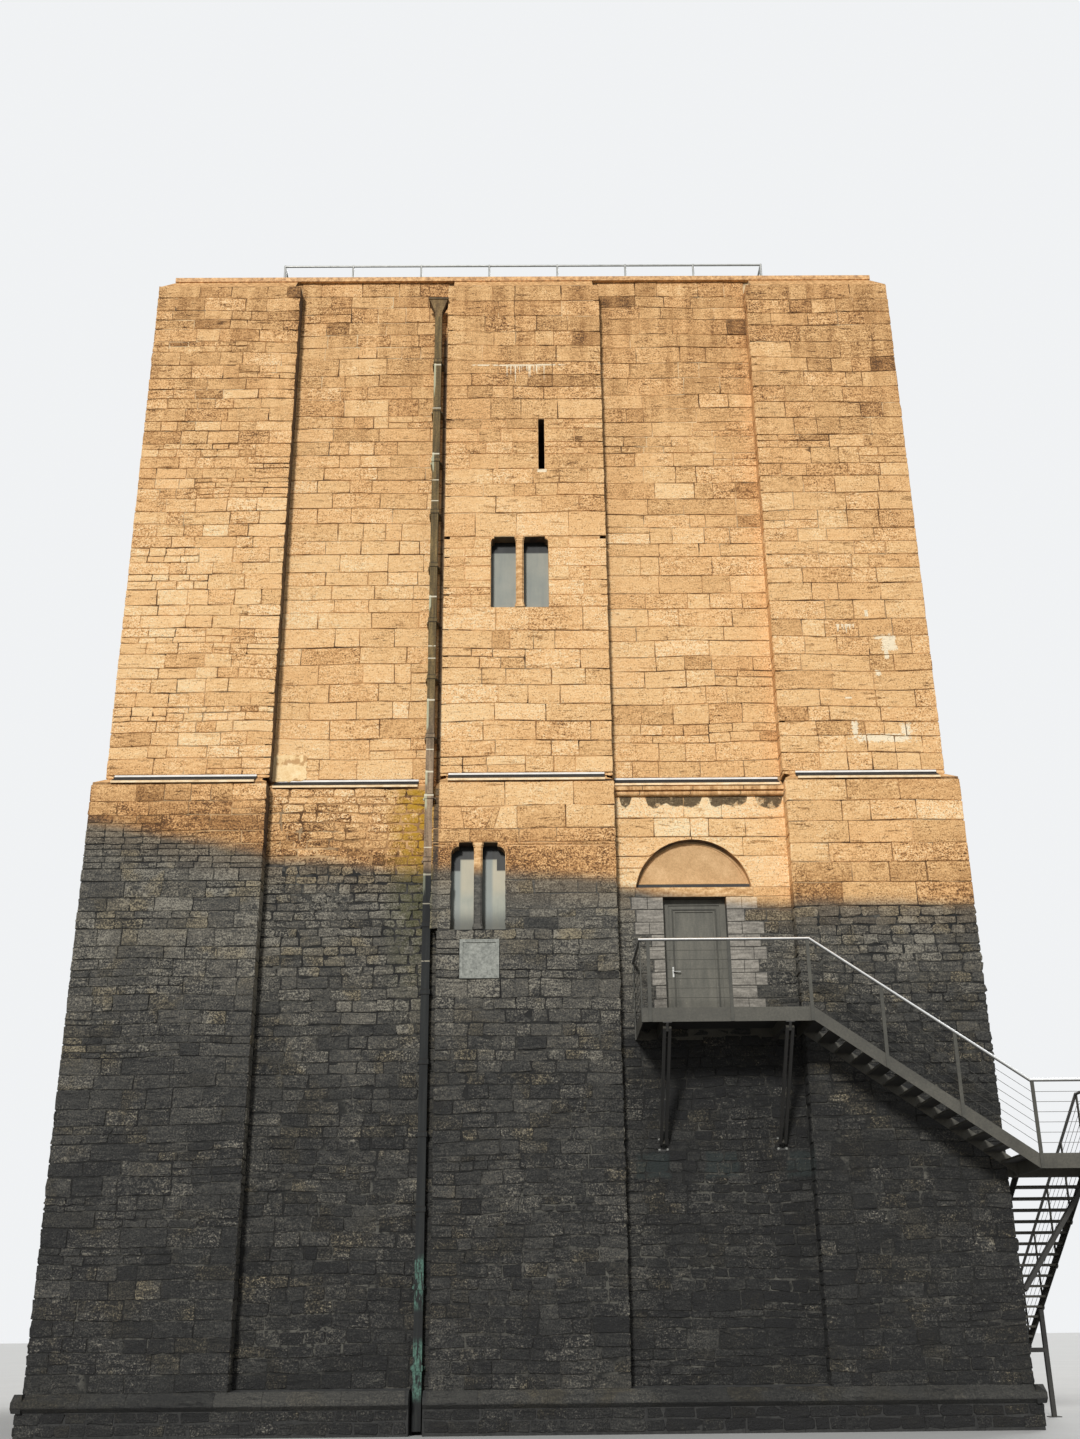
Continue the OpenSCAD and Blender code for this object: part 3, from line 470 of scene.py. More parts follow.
def limestone(name, grit=1.0, tone_scale=0.62, limed=False):
    """Old limestone. The grit scales its grain, and tone_scale how much the stones differ."""
    material, place = start_finish(name)
    x, z = place.part("X"), place.part("Z")
    tone, shift, damp = (face_value(place, key) for key in ("tone", "shift", "damp"))
    own = place + shift * 37.0
    above = above_shadow_line(place)
    lit = above.step(*SHADOW_EDGE)

    rugged = x.band((-5.0, -4.9), (-1.75, -1.7)) * z.band((9.0, 9.3), (11.2, 11.25)) * on_front(place)
    bedding = own.stretched(1.0, 1.0, 5.0).noise(4.2, 4.0, 0.7) - 0.5
    mottle = place.stretched(0.5, 0.5, 1.6).noise(12.0, 4.0, 0.8, 0.3) - 0.5
    speckle = own.noise(34.0, 2.0, 0.8) - 0.5
    broad = place.noise(0.5, 3.0) - 0.5
    coarse = place.noise(1.7, 2.0).step(0.42, 0.62) * 0.45 + shift.step(0.55, 0.95) * 0.5 + 0.55
    scars = place.stretched(1.0, 1.0, 6.0).noise(2.2, 4.0, 0.65).step(0.62, 0.67)
    fine = (bedding * 0.72 + mottle * 0.62 + speckle * 1.7) * coarse * grit * (rugged * 0.6 + 1.0)
    value = (tone - 0.5) * tone_scale + fine + broad * 0.36

    high = z.step(15.5, 23.2)
    runs = high * (place.stretched(2.6, 2.6, 0.25).noise(1.6, 3.0) - 0.5) * 0.6
    # Painted half-shade on the sunlit stone towards the shadow's edge.
    half_shade = (1 - above.step(0.1, 1.75)) * half_shade_share(x) * 0.34
    washed = box_mask(place, *WASHED_STONES, 0.05) * 0.19 + x.band(*DOOR_BAY) * (1 - z.step(11.2, 11.3)) * 0.05
    sunlit_value = value + 0.585 - x * 0.005 - high * 0.21 + runs - half_shade - scars * 0.24 + washed
    sunlit_colour = sunlit_value.ramp(*SUNLIT_STOPS)
    sunlit_colour = (shift.step(0.3, 0.8) * 0.8).mixed(sunlit_colour, sunlit_colour.stretched(1.015, 0.965, 0.93))

    # The shaded copy: the stones as they look in painted shade; side faces painted in shade are a little lighter here.
    shaded_value = (tone - 0.5) * tone_scale * 0.95 + fine * 1.45 + broad * 0.36 + damp * 0.30
    shaded_colour = (shaded_value + shade_level(place) - scars * 0.18).ramp(*SHADE_STOPS)
    earthy = place.noise(1.3, 3.0).step(0.46, 0.60) * shift.step(0.2, 0.9) * 0.9
    shaded_colour = earthy.mixed(shaded_colour, shaded_colour.stretched(1.10, 1.0, 0.80))
    # Painted brown half-light on the shaded stone just under the shadow's edge.
    penumbra = above.step(-0.75, -0.1) * 0.42
    shaded_colour = penumbra.mixed(shaded_colour, (value * 0.9 + 0.5).ramp(*PENUMBRA_STOPS))

    # The sunlit and shaded copies meet at the painted shadow's edge, and pits and lichen get a sunlit and a shaded
    # colour as well.
    colour = lit.mixed(shaded_colour, sunlit_colour)
    pits = (1 - own.cells(21.0).step(0.05, 0.24)) * grit
    colour = (pits * 0.5).mixed(colour, lit.mixed(tint(20, 20, 19), tint(120, 82, 44)))
    colour = lichen(place).mixed(colour, above.step(-0.4, 0.5).mixed(tint(80, 80, 42), tint(190, 146, 40)))
    for left, right in GREEN_STAINS:
        colour = (box_mask(place, left, right, 4.0, 4.42) * 0.62).mixed(colour, tint(36, 45, 44))
    colour = (soot(place) * 0.95).mixed(colour, (fine * 0.8 + 0.5).ramp(*SOOT_STOPS))
    if limed:
        colour = (lime(place) * 0.88).mixed(colour, tint(255, 240, 208))
    # Painted shade on the side faces turned from the sun where the stone is sunlit, and the pipe's painted shadow.
    shade = (damp * lit * 0.88).largest(pipe_shade(place) * (lit * 0.5 + 0.5))
    colour = shade.mixed(colour, tint(42, 42, 40))
    height = bedding * 0.5 + mottle * 0.7 + speckle * 0.8 * grit - pits * 0.7 - scars * 0.4
    return end_finish(material, colour, speckle * 0.3 + 0.84, height, 0.03, 0.9)


finishes["limed_limestone"] = limestone("limed_limestone", limed=True)
finishes["weathered_limestone"] = limestone("weathered_limestone")
finishes["smooth_limestone"] = limestone("smooth_limestone", grit=0.5, tone_scale=0.5)
print("limestone has", len(finishes["weathered_limestone"].node_tree.nodes), "nodes")

# %% [markdown]
# ## Mortar behind the stones
# The solid walls lie a finger's depth behind the stones' faces, so what shows of them
# between the stones is the bed of lime mortar: rough, a little darker than the
# stone, with pale crumbs of lime.

# %% Mortar finish on the solid walls


def facing(place, axis):
    """How far a surface faces along an axis, from -1 to 1."""
    return Wire.make(place.tree, "ShaderNodeNewGeometry", {}, {}, 1).part(axis)


def shaded(place, colour, depth=0.9):
    """Painted shade: undersides, and reveals on the front that face right, away from the sun, are made nearly black."""
    under = 1 - facing(place, "Z").step(-0.95, -0.35)
    away = facing(place, "X").step(0.55, 0.9) * on_front(place)
    return (under.largest(away) * depth).mixed(colour, tint(34, 31, 27))


def butt_joints(place, pitch, width):
    """1 in thin upright joints, one at each pitch along a wall."""
    return (place.part("X") + place.part("Y")).sum_with(pitch, "MODULO").size() < width


def mortar():
    material, place = start_finish("lime_mortar")
    x, z = place.part("X"), place.part("Z")
    value = place.noise(2.4, 4.0, 0.6) * 0.7 + place.noise(30.0, 3.0, 0.7) * 0.3
    raked = place.noise(1.3, 3.0, 0.6).step(0.40, 0.56)
    flush = value.ramp((0.38, tint(150, 110, 68)), (0.62, tint(216, 172, 118)))
    deep = value.ramp((0.38, tint(56, 37, 20)), (0.5, tint(98, 68, 38)), (0.64, tint(180, 138, 90)))
    pale = place.noise(0.8, 2.0).step(0.52, 0.60) * (z.step(14.5, 20.0) * 0.45 + 0.22)
    warm = pale.mixed(raked.mixed(flush, deep), tint(250, 224, 178))
    cold = value.ramp((0.38, tint(14, 14, 14)), (0.52, tint(32, 32, 30)), (0.66, tint(84, 82, 76)))
    limy = place.noise(0.9, 3.0).step(0.50, 0.60) * place.noise(14.0, 2.0).step(0.40, 0.56)
    # Under the platform the mortar keeps no pale lime, as part of the painted shade there.
    platform_shade = z.band((3.4, 5.4), (6.5, 6.9)) * x.step(1.5, 1.8)
    cold = (limy * (1 - platform_shade) * 0.42).mixed(cold, tint(118, 116, 107))
    # The mortar has a sunlit and a shaded copy, which meet at the painted shadow's edge; faces that look up take the
    # stone's painted sunlit palette.
    colour = sunlit_part(place).mixed(cold, warm)
    bare = ((place.noise(11.0, 4.0, 0.8) - 0.5) * 1.3 + 0.42 - z.step(16.0, 23.0) * 0.06).ramp(*SUNLIT_STOPS)
    bare = (butt_joints(place, 0.83, 0.014) * 0.7).mixed(bare, tint(96, 68, 42))
    colour = facing(place, "Z").step(0.15, 0.3).mixed(colour, bare)
    colour = (pipe_shade(place) * 0.5).mixed(colour, tint(34, 34, 32))
    return end_finish(material, shaded(place, colour, 0.8), 0.92, value, 0.02, 0.8)


def shades(value, low, high, *tints):
    """A ramp over equally spaced tints, from low to high."""
    gap = (high - low) / (len(tints) - 1)
    return value.ramp(*[(low + gap * k, tint(*shade)) for k, shade in enumerate(tints)])


def dressed_stone(name, sunlit_tints, shaded_tints):
    material, place = start_finish(name)
    value = place.stretched(1.0, 1.0, 4.0).noise(5.0, 4.0) * 0.5 + place.noise(24.0, 4.0, 0.75) * 0.5
    # Sunlit and shaded copies of the tints meet at the painted shadow's edge, and shaded() adds painted shade under
    # soffits and on reveals.
    colour = sunlit_part(place).mixed(shades(value, 0.38, 0.62, *shaded_tints), shades(value, 0.38, 0.62, *sunlit_tints))
    return end_finish(material, shaded(place, colour), 0.84, value, 0.012, 0.5)


def coat(finish, *names):
    """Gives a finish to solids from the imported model."""
    for name in names:
        nodes[name].data.materials.clear()
        nodes[name].data.materials.append(finishes[finish])
    print(finish, "on", len(names), "solids")


finishes["lime_mortar"] = mortar()
# Each stone has tints as it looks painted sunlit and as it looks painted in shade.
DRESSED_TINTS = {
    "dressed_stone": (((176, 130, 80), (216, 170, 116), (244, 206, 154)), ((52, 51, 48), (74, 72, 67), (104, 101, 93))),
    "sawn_limestone": (
        ((206, 166, 118), (232, 196, 150), (250, 222, 182)), ((104, 100, 93), (134, 129, 120), (164, 158, 148)),
    ),
    "ledge_stone": (((176, 132, 84), (210, 166, 115), (238, 200, 150)), ((34, 34, 34), (52, 52, 51), (78, 78, 75))),
}
for name, (sunlit_tints, shaded_tints) in DRESSED_TINTS.items():
    finishes[name] = dressed_stone(name, sunlit_tints, shaded_tints)
coat(
    "lime_mortar",
    "corner_front_left", "corner_front_right", "corner_back_left", "corner_back_right",
    "front_left_bay", "door_bay_below", "door_bay_above", "front_pilaster",
    "left_bays", "left_pilaster", "right_bays", "right_pilaster", "back_bays", "back_pilaster",
)
coat(
    "dressed_stone",
    "front_window_jambs", "left_window_jambs", "right_window_jambs", "back_window_jambs",
    "door_bay_jambs", "door_lintel", "pilaster_patch",
)
coat("ledge_stone", "plinth_ledges")

# %% [markdown]
# ## How a mason lays a wall
# The stones are real shapes, because at a grazing sun the joints throw shadows that a
# painted wall can't. A wall is laid in beds. Each bed is filled with stretches, some
# stretches are split in two thinner courses, and each course is cut into stones.
# The styles say how large and how rough the stones are.

# %% Styles of masonry
STYLES = {
    "large": dict(corners=12, high=(0.42, 0.56), long=(0.70, 1.40), split=0.06, joint=0.018, cut=0.010, wander=0.005,
                  proud=(0.011, 0.019), bevel=0.006, pillow=0.001, rough=0.0020, tilt=0.007, tone=0.09),
    "ashlar": dict(corners=12, high=(0.30, 0.45), long=(0.42, 1.10), split=0.10, joint=0.018, cut=0.010, wander=0.005,
                   proud=(0.010, 0.020), bevel=0.006, pillow=0.001, rough=0.0022, tilt=0.008, tone=0.09),
    "squared": dict(corners=12, high=(0.23, 0.36), long=(0.34, 0.90), split=0.18, joint=0.017, cut=0.011, wander=0.006,
                    proud=(0.010, 0.020), bevel=0.006, pillow=0.002, rough=0.0025, tilt=0.010, tone=0.10),
    "coursed": dict(corners=12, high=(0.24, 0.34), long=(0.34, 0.90), split=0.24, joint=0.018, cut=0.014, wander=0.009,
                    proud=(0.008, 0.021), bevel=0.007, pillow=0.002, rough=0.0035, tilt=0.013, tone=0.12),
    "rubble": dict(corners=8, high=(0.19, 0.27), long=(0.24, 0.58), split=0.14, joint=0.018, cut=0.020, wander=0.011,
                   proud=(0.006, 0.022), bevel=0.009, pillow=0.004, rough=0.004, tilt=0.020, tone=0.13),
    "small": dict(corners=8, high=(0.15, 0.21), long=(0.17, 0.40), split=0.0, joint=0.018, cut=0.022, wander=0.012,
                  proud=(0.006, 0.023), bevel=0.009, pillow=0.004, rough=0.004, tilt=0.022, tone=0.13),
    "sawn": dict(corners=8, high=(0.19, 0.24), long=(0.26, 0.46), split=0.0, joint=0.012, cut=0.002, wander=0.001,
                 proud=(0.016, 0.018), bevel=0.004, pillow=0.0, rough=0.0004, tilt=0.0, tone=0.10),
    "plaster": dict(corners=8, high=(0.1, 0.1), long=(0.1, 0.1), split=0.0, joint=0.0, cut=0.0, wander=0.0,
                    proud=(0.026, 0.029), bevel=0.006, pillow=0.001, rough=0.001, tilt=0.0, tone=0.0),
}
print("styles:", ", ".join(STYLES))

# %% [markdown]
# A panel is one flat face of the tower. It is drawn as if on the front side, and
# turned by quarter turns for the other three. Its own coordinates are u along the
# wall, z up, and the depth out of the wall.

# %% Panels


class Panel:
    """A flat wall face: a point at u and depth is base + u * along + depth * outward."""

    def __init__(self, quarter, base, along, outward, damp=0.0):
        angle = quarter * math.pi / 2
        turn = np.array([[math.cos(angle), -math.sin(angle)], [math.sin(angle), math.cos(angle)]])
        self.base, self.along, self.outward = (turn @ np.array(v, float) for v in (base, along, outward))
        self.damp = damp


def wall_panel(quarter, distance):
    """One side of the tower at this distance from its middle: 0 is the front, and the next ones lie anticlockwise."""
    return Panel(quarter, (0, -distance), (1, 0), (0, -1))


def return_panel(quarter, x, turned):
    """A side face of a pilaster. Those that turn away from the sun are painted in shade: fully on the front, and a
    little under half as much on the other sides.
    """
    damp = (1.0 if quarter == 0 else 0.45) if turned > 0 else 0.0
    return Panel(quarter, (x, 0), (0, turned), (turned, 0), damp)


print("a front panel looks along", wall_panel(0, face).outward)

# %% [markdown]
# Beds come first. They are drawn by lot within the style's heights, stretched to fit
# exactly, and made to pass through the sills and heads of openings. A length that
# would leave a sliver at the end of a course is shared with its neighbour.

# %% Beds, courses and stones


def bed_levels(low, high, style, rng, forced=()):
    """Heights of the beds, which pass through the forced levels."""
    heights = []
    while sum(heights) < high - low:
        heights.append(rng.uniform(*style["high"]))
    scale = (high - low) / sum(heights)
    levels = [low]
    for height in heights:
        levels.append(levels[-1] + height * scale)
    levels[-1] = high
    keep = {low, high, *[f for f in forced if low < f < high]}
    short = style["high"][0] * 0.55
    return [v for v in sorted({*levels, *keep}) if v in keep or all(abs(v - k) > short for k in keep)]


def cut_course(start, end, low, high, style, rng):
    """One course between two ends, as rows of u0, u1, z0, z1."""
    rows, u = [], start
    while end - u > 1e-6:
        length = (high - low) * rng.uniform(1.1, 3.4)
        length = min(max(length, style["long"][0]), style["long"][1])
        stop = u + length
        if end - stop < style["long"][0] * 0.75:
            stop = end if end - u < style["long"][1] * 1.15 else (u + end) / 2
        rows.append((u, stop, low, high))
        u = stop
    return rows


def fill_bed(start, end, low, high, style, rng):
    """One bed, with some stretches split into two thinner courses."""
    rows, u = [], start
    while end - u > 1e-6:
        stop = u + rng.uniform(0.8, 2.4)
        if end - stop < 0.6:
            stop = end
        if high - low > 0.23 and rng.random() < style["split"]:
            middle = low + (high - low) * rng.uniform(0.36, 0.64)
            rows += cut_course(u, stop, low, middle, style, rng) + cut_course(u, stop, middle, high, style, rng)
        else:
            rows += cut_course(u, stop, low, high, style, rng)
        u = stop
    return rows


def clear_of(start, end, low, high, holes):
    """The stretches of a bed that no hole takes."""
    runs = [(start, end)]
    for u0, u1, z0, z1 in holes:
        if min(high, z1) - max(low, z0) > 0.02:
            cut = []
            for a, b in runs:
                if u1 <= a or u0 >= b:
                    cut.append((a, b))
                else:
                    cut += [run for run in ((a, u0), (u1, b)) if run[1] - run[0] > 0.04]
            runs = cut
    return runs


print("a bed of 3 m has", len(fill_bed(0, 3, 0, 0.4, STYLES["ashlar"], random.Random(1))), "stones")

# %% [markdown]
# ## From a rectangle to a stone
# Each stone is an outline of twelve points, or eight in rubble, with its corners
# knocked off. Three rings of that outline make it: one in the mortar, one at the edge
# and one round the face, and a point in the middle makes the face crown a little. All
# stones of a wall are worked out at once as arrays, since ten thousand of them would
# be slow one by one. First come their outlines, and the heap that keeps the stones of
# a piece until all of them are laid.

# %% The heap of stones that becomes one mesh


def box_outlines(rows, cut, wander, rng, corners):
    """Outlines of many stones: twelve points each, or eight for the small ones."""
    u0, u1, z0, z1 = rows.T
    if corners == 8:
        us = [u0 + cut, u1 - cut, u1, u1, u1 - cut, u0 + cut, u0, u0]
        zs = [z0, z0, z0 + cut, z1 - cut, z1, z1, z1 - cut, z0 + cut]
    else:
        mid_u = u0 + (u1 - u0) * rng.uniform(0.35, 0.65, len(rows))
        mid_z = (z0 + z1) / 2
        us = [u0 + cut, mid_u, u1 - cut, u1, u1, u1, u1 - cut, mid_u, u0 + cut, u0, u0, u0]
        zs = [z0, z0, z0, z0 + cut, mid_z, z1 - cut, z1, z1, z1, z1 - cut, mid_z, z0 + cut]
    outline = np.stack([np.stack(us, 1), np.stack(zs, 1)], 2)
    return outline + rng.normal(0, 1, outline.shape) * wander[:, None, None]


quiet_levels = []


def bed_warp(points):
    """Old beds are never quite level: this lifts and drops them by a finger or so, away from edges and openings."""
    x, y, z = points[..., 0], points[..., 1], points[..., 2]
    wave = 0.016 * np.sin(1.15 * (x + y) + 0.9 * z) + 0.011 * np.sin(2.7 * x - 2.3 * y + 1.7 * z + 1.0)
    edge = np.minimum(np.abs(z - offset_z), np.abs(z - slope_top))
    edge = np.minimum(edge, np.maximum(z - foot_z, 0))
    edge = np.minimum(edge, np.abs(z - top_z))
    for low, high in quiet_levels:
        edge = np.minimum(edge, np.maximum(np.maximum(low - z, z - high), 0))
    return wave * np.clip(edge / 0.5, 0, 1)


class Heap:
    """Stones for one piece: rows are laid first, and turned into a mesh at the end."""

    def __init__(self, seed):
        self.rng = random.Random(seed)
        self.arrays = np.random.default_rng(seed)
        self.stones = []
        self.shaped = []

    def put(self, panel, row, style, tone=None, grow=(0, 0)):
        """A plain stone on a row of u0, u1, z0, z1. A few are much darker or paler than the rest."""
        if tone is None:
            tone = self.rng.gauss(0.5, style["tone"])
            chance = self.rng.random()
            tone += -0.26 if chance < 0.035 else (0.16 if chance > 0.96 else 0)
        joint = style["joint"] / 2
        row = (row[0] - grow[0] + joint * 0.85, row[1] + grow[1] - joint * 0.85, row[2] + joint, row[3] - joint)
        if row[1] - row[0] > 0.03 and row[3] - row[2] > 0.03:
            self.stones.append((panel, row, style, min(max(tone, 0.0), 1.0)))

    def put_shape(self, panel, outline, style, tone):
        """A stone with an outline of its own, anticlockwise as seen from outside."""
        self.shaped.append((panel, np.array(outline, float), style, tone))


print("an empty heap holds", len(Heap(1).stones), "stones")

# %% [markdown]
# Then the outlines become solid stones. Each one stands out of the mortar by its own
# amount, leans a little and has a slightly rough rim. Its tone, a random shift and how
# much painted shade it takes are kept on its faces for the finish to read.

# %% Solid stones from outlines


def stone_mesh(panels, outline, centre, half, styles, tones, rng, whole=False):
    """Points, faces and face values of many stones with equally many points.

    The front of a whole stone is one face without a middle point, for hollow outlines.
    """
    count, ring = outline.shape[:2]
    value = {key: np.array([s[key] for s in styles], float) for key in ("bevel", "pillow", "rough", "tilt")}
    proud = np.array([s["proud"] for s in styles], float)
    proud = proud[:, 0] + (proud[:, 1] - proud[:, 0]) * rng.random(count)
    inset = np.clip(value["bevel"][:, None] / np.maximum(half, 0.02), 0, 0.6)
    rim = centre[:, None] + (outline - centre[:, None]) * (1 - inset[:, None])
    slope = rng.normal(0, 1, (count, 2)) * value["tilt"][:, None]
    lean = ((outline - centre[:, None]) * slope[:, None]).sum(2)
    edge_depth = (proud - value["bevel"])[:, None] + lean
    rim_depth = proud[:, None] + lean + rng.normal(0, 1, (count, ring)) * value["rough"][:, None]
    layers = [(outline, np.full((count, ring), -0.004)), (outline, edge_depth), (rim, rim_depth)]
    if not whole:
        layers.append((centre[:, None], (proud + value["pillow"])[:, None]))
    flat = np.concatenate([shape for shape, depth in layers], 1)
    depth = np.concatenate([depth for shape, depth in layers], 1)
    ways = ("base", "along", "outward")
    base, along, outward = (np.array([getattr(panel, way) for panel in panels])[:, None] for way in ways)
    points = np.zeros((count, flat.shape[1], 3))
    points[..., :2] = base + along * flat[..., :1] + outward * depth[..., None]
    points[..., 2] = flat[..., 1]
    points[..., 2] += bed_warp(points)
    i = np.arange(ring)
    j = (i + 1) % ring
    band = np.stack([i, j, j + ring, i + ring], 1)
    quads = np.concatenate([band, band + ring])
    fronts = (i + 2 * ring)[None] if whole else np.stack([i + 2 * ring, j + 2 * ring, np.full(ring, 3 * ring)], 1)
    start = (np.arange(count) * flat.shape[1])[:, None, None]
    quads = (quads[None] + start).reshape(-1, 4)
    owner = np.concatenate([np.repeat(np.arange(count), 2 * ring), np.repeat(np.arange(count), len(fronts))])
    fronts = (fronts[None] + start).reshape(-1, fronts.shape[1])
    return_shades = np.array([panel.damp for panel in panels])
    faces = quads.tolist() + fronts.tolist()
    return points.reshape(-1, 3), faces, tones[owner], rng.random(count)[owner], return_shades[owner]


def make_piece(name, points, faces, finish, values=None):
    """A mesh on the tower, with a finish and any values on its faces."""
    mesh = bpy.data.meshes.new(name)
    mesh.from_pydata([tuple(p) for p in points], [], faces)
    for key, numbers in (values or {}).items():
        layer = mesh.attributes.new(key, "FLOAT", "FACE")
        layer.data.foreach_set("value", np.asarray(numbers, np.float32))
    mesh.materials.append(finishes[finish])
    piece = bpy.data.objects.new(name, mesh)
    bpy.context.scene.collection.objects.link(piece)
    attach(piece, "root")


def raise_heap(heap, name, finish):
    """Turns a heap of stones into one piece of the scene."""
    parts = []
    for corners in sorted({stone[2]["corners"] for stone in heap.stones}):
        chosen = [stone for stone in heap.stones if stone[2]["corners"] == corners]
        panels, rows, styles, tones = zip(*chosen)
        rows = np.array(rows)
        cut = np.array([min(style["cut"], 0.4 * (row[3] - row[2])) for style, row in zip(styles, rows)])
        cut = cut * heap.arrays.uniform(0.5, 1.6, len(rows))
        wander = np.array([style["wander"] for style in styles])
        outline = box_outlines(rows, cut, wander, heap.arrays, corners)
        centre = np.stack([rows[:, :2].mean(1), rows[:, 2:].mean(1)], 1)
        half = np.stack([(rows[:, 1] - rows[:, 0]) / 2, (rows[:, 3] - rows[:, 2]) / 2], 1)
        parts.append(stone_mesh(panels, outline, centre, half, styles, np.array(tones), heap.arrays))
    for panel, shape, style, tone in heap.shaped:
        middle, half = shape.mean(0)[None], (shape.max(0) - shape.min(0))[None] / 2
        parts.append(stone_mesh([panel], shape[None], middle, half, [style], np.array([tone]), heap.arrays, True))
    points, faces, start = [], [], 0
    for part in parts:
        points.append(part[0])
        faces += [[v + start for v in face] for face in part[1]]
        start += len(part[0])
    values = {key: np.concatenate([part[k] for part in parts]) for k, key in enumerate(("tone", "shift", "damp"), 2)}
    make_piece(name, np.concatenate(points), faces, finish, values)
    triangles = sum(len(face) - 2 for face in faces)
    print(name, "has", len(heap.stones) + len(heap.shaped), "stones and", triangles, "triangles")


print("stones are made of up to", STYLES["large"]["corners"] * 3 + 1, "points")

# %% [markdown]
# ## Laying one panel
# The beds of a panel stop at its openings, so no stone is cut to a sliver there.
# Where a stone meets the arch over the door, its outline is pushed out to the
# curve, as a mason would cut it.

# %% Lay a panel


def divided(corners, parts):
    """An outline from its corners, with each side divided in equal parts."""
    outline = []
    for (a, b), (c, d) in zip(corners, (*corners[1:], corners[0])):
        outline += [(a + (c - a) * k / parts, b + (d - b) * k / parts) for k in range(parts)]
    return outline


def pushed_outline(row, arch, joint):
    """Outline of a stone that gives way to a round arch."""
    u0, u1, z0, z1 = row
    x, z, radius = arch[0], arch[1], arch[2] + joint
    moved = []
    for u, v in divided(((u0, z0), (u1, z0), (u1, z1), (u0, z1)), 9):
        away = math.hypot(u - x, v - z)
        if away < radius and v > z:
            u, v = x + (u - x) / away * radius, z + (v - z) / away * radius
        moved.append((u, v))
    return moved


def meets(row, arch):
    """Whether a stone comes within the arch's circle at its nearest point."""
    u, z = min(max(arch[0], row[0]), row[1]), min(max(arch[1], row[2]), row[3])
    return math.hypot(u - arch[0], z - arch[1]) < arch[2] + 0.02


def at_ends(start, end, ends, wrap):
    """How far a stretch grows past the ends of its panel, so that it turns the corner."""
    return (wrap[0] if start <= ends[0] + 1e-6 else 0, wrap[1] if end >= ends[1] - 1e-6 else 0)


def lay_panel(heap, panel, ends, style_name, levels=None, beds=None, forced=(), holes=(), wrap=(0, 0), arch=None):
    """Fills a panel between two ends with stones, in new beds between two levels or in beds that are given."""
    style = STYLES[style_name]
    beds = beds or bed_levels(*levels, style, heap.rng, forced)
    for low, high in zip(beds, beds[1:]):
        taken = list(holes)
        if arch and low < arch[1] + arch[2]:
            x, z, radius = arch
            top = min(high, z + radius)
            chord = math.sqrt(max(radius ** 2 - (top - z) ** 2, 0)) if high < z + radius - 0.02 else 0
            if chord > 0.05:
                taken.append((x - chord, x + chord, low, high))
        for start, end in clear_of(*ends, low, high, taken):
            for row in fill_bed(start, end, low, high, style, heap.rng):
                if arch and meets(row, arch):
                    gap = style["joint"] / 2
                    inner = (row[0] + gap, row[1] - gap, row[2] + gap, row[3] - gap)
                    heap.put_shape(panel, pushed_outline(inner, arch, 0.006), style, heap.rng.uniform(0.35, 0.75))
                else:
                    heap.put(panel, row, style, grow=at_ends(row[0], row[1], ends, wrap))


print("panels can be laid")

# %% [markdown]
# ## Openings
# The windows repeat on all four sides, and the side with the doorway also has the
# door, its lintel, the arch and a square vent plate. Each hole is noted as a
# rectangle in the panel's own coordinates.

# %% Note the holes in the walls
glass = points_of("window_glass")
front_glass = glass[glass[:, 1] < -6.0]


def light_holes(low, high):
    """A twin window as two rectangles, up to the shoulders and over them, then the shoulder's height and depth."""
    part = front_glass[(front_glass[:, 2] > low) & (front_glass[:, 2] < high)]
    left, right, sill, head = part[:, 0].min(), part[:, 0].max(), part[:, 2].min(), part[:, 2].max()
    inner = sorted({near(x) for x in part[part[:, 2] > head - 1e-3][:, 0]})
    shoulder = near(part[part[:, 0] < left + 1e-3][:, 2].max())
    hollow = inner[0] - left
    return [(near(left), near(right), near(sill), near(shoulder + hollow)),
            (inner[0], inner[-1], near(shoulder + hollow), near(head)), (shoulder, near(hollow))]


def corbels(heap, panel, window):
    """The shoulder stones of a twin window, hollowed below with a quarter round."""
    (left, right, *_), (*_, head), (shoulder, hollow) = window
    for x, turned in ((left, 1), (right, -1)):
        angles = [math.pi * (1 - k / 12) for k in range(7)]
        arc = [(x + turned * (hollow + hollow * math.cos(a)), shoulder + hollow * math.sin(a)) for a in angles]
        outline = arc + [(x + turned * hollow, head), (x, head), (x, (shoulder + head) / 2)]
        heap.put_shape(panel, outline[::turned], STYLES["ashlar"], 0.55)


low_window = light_holes(foot_z, offset_z)
up_window = light_holes(offset_z, top_z)
jamb_points = points_of("front_window_jambs")
slit_points = jamb_points[(jamb_points[:, 2] > up_window[1][3] + 0.5) & (jamb_points[:, 1] < -up_face + 1e-3)]
slit_xs = sorted({near(x) for x in slit_points[:, 0]})
slit = (slit_xs[1], slit_xs[2], near(slit_points[:, 2].min()), near(slit_points[:, 2].max()))
low_holes, up_holes = low_window[:2], up_window[:2]
quiet_levels += [(low_window[0][2], low_window[1][3]), (up_window[0][2], up_window[1][3]), (slit[2], slit[3])]
print("lower window", low_window, "upper window", up_window, "slit", slit)

# %% [markdown]
# The arch over the door is a part of a circle, and its middle and radius follow from
# its width and its rise.

# %% Note the doorway, the arch and the vent plate


def front_box(name):
    """A solid as the front shows it: left, right, low, high."""
    low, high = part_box(name)
    return near(low.x), near(high.x), near(low.z), near(high.z)


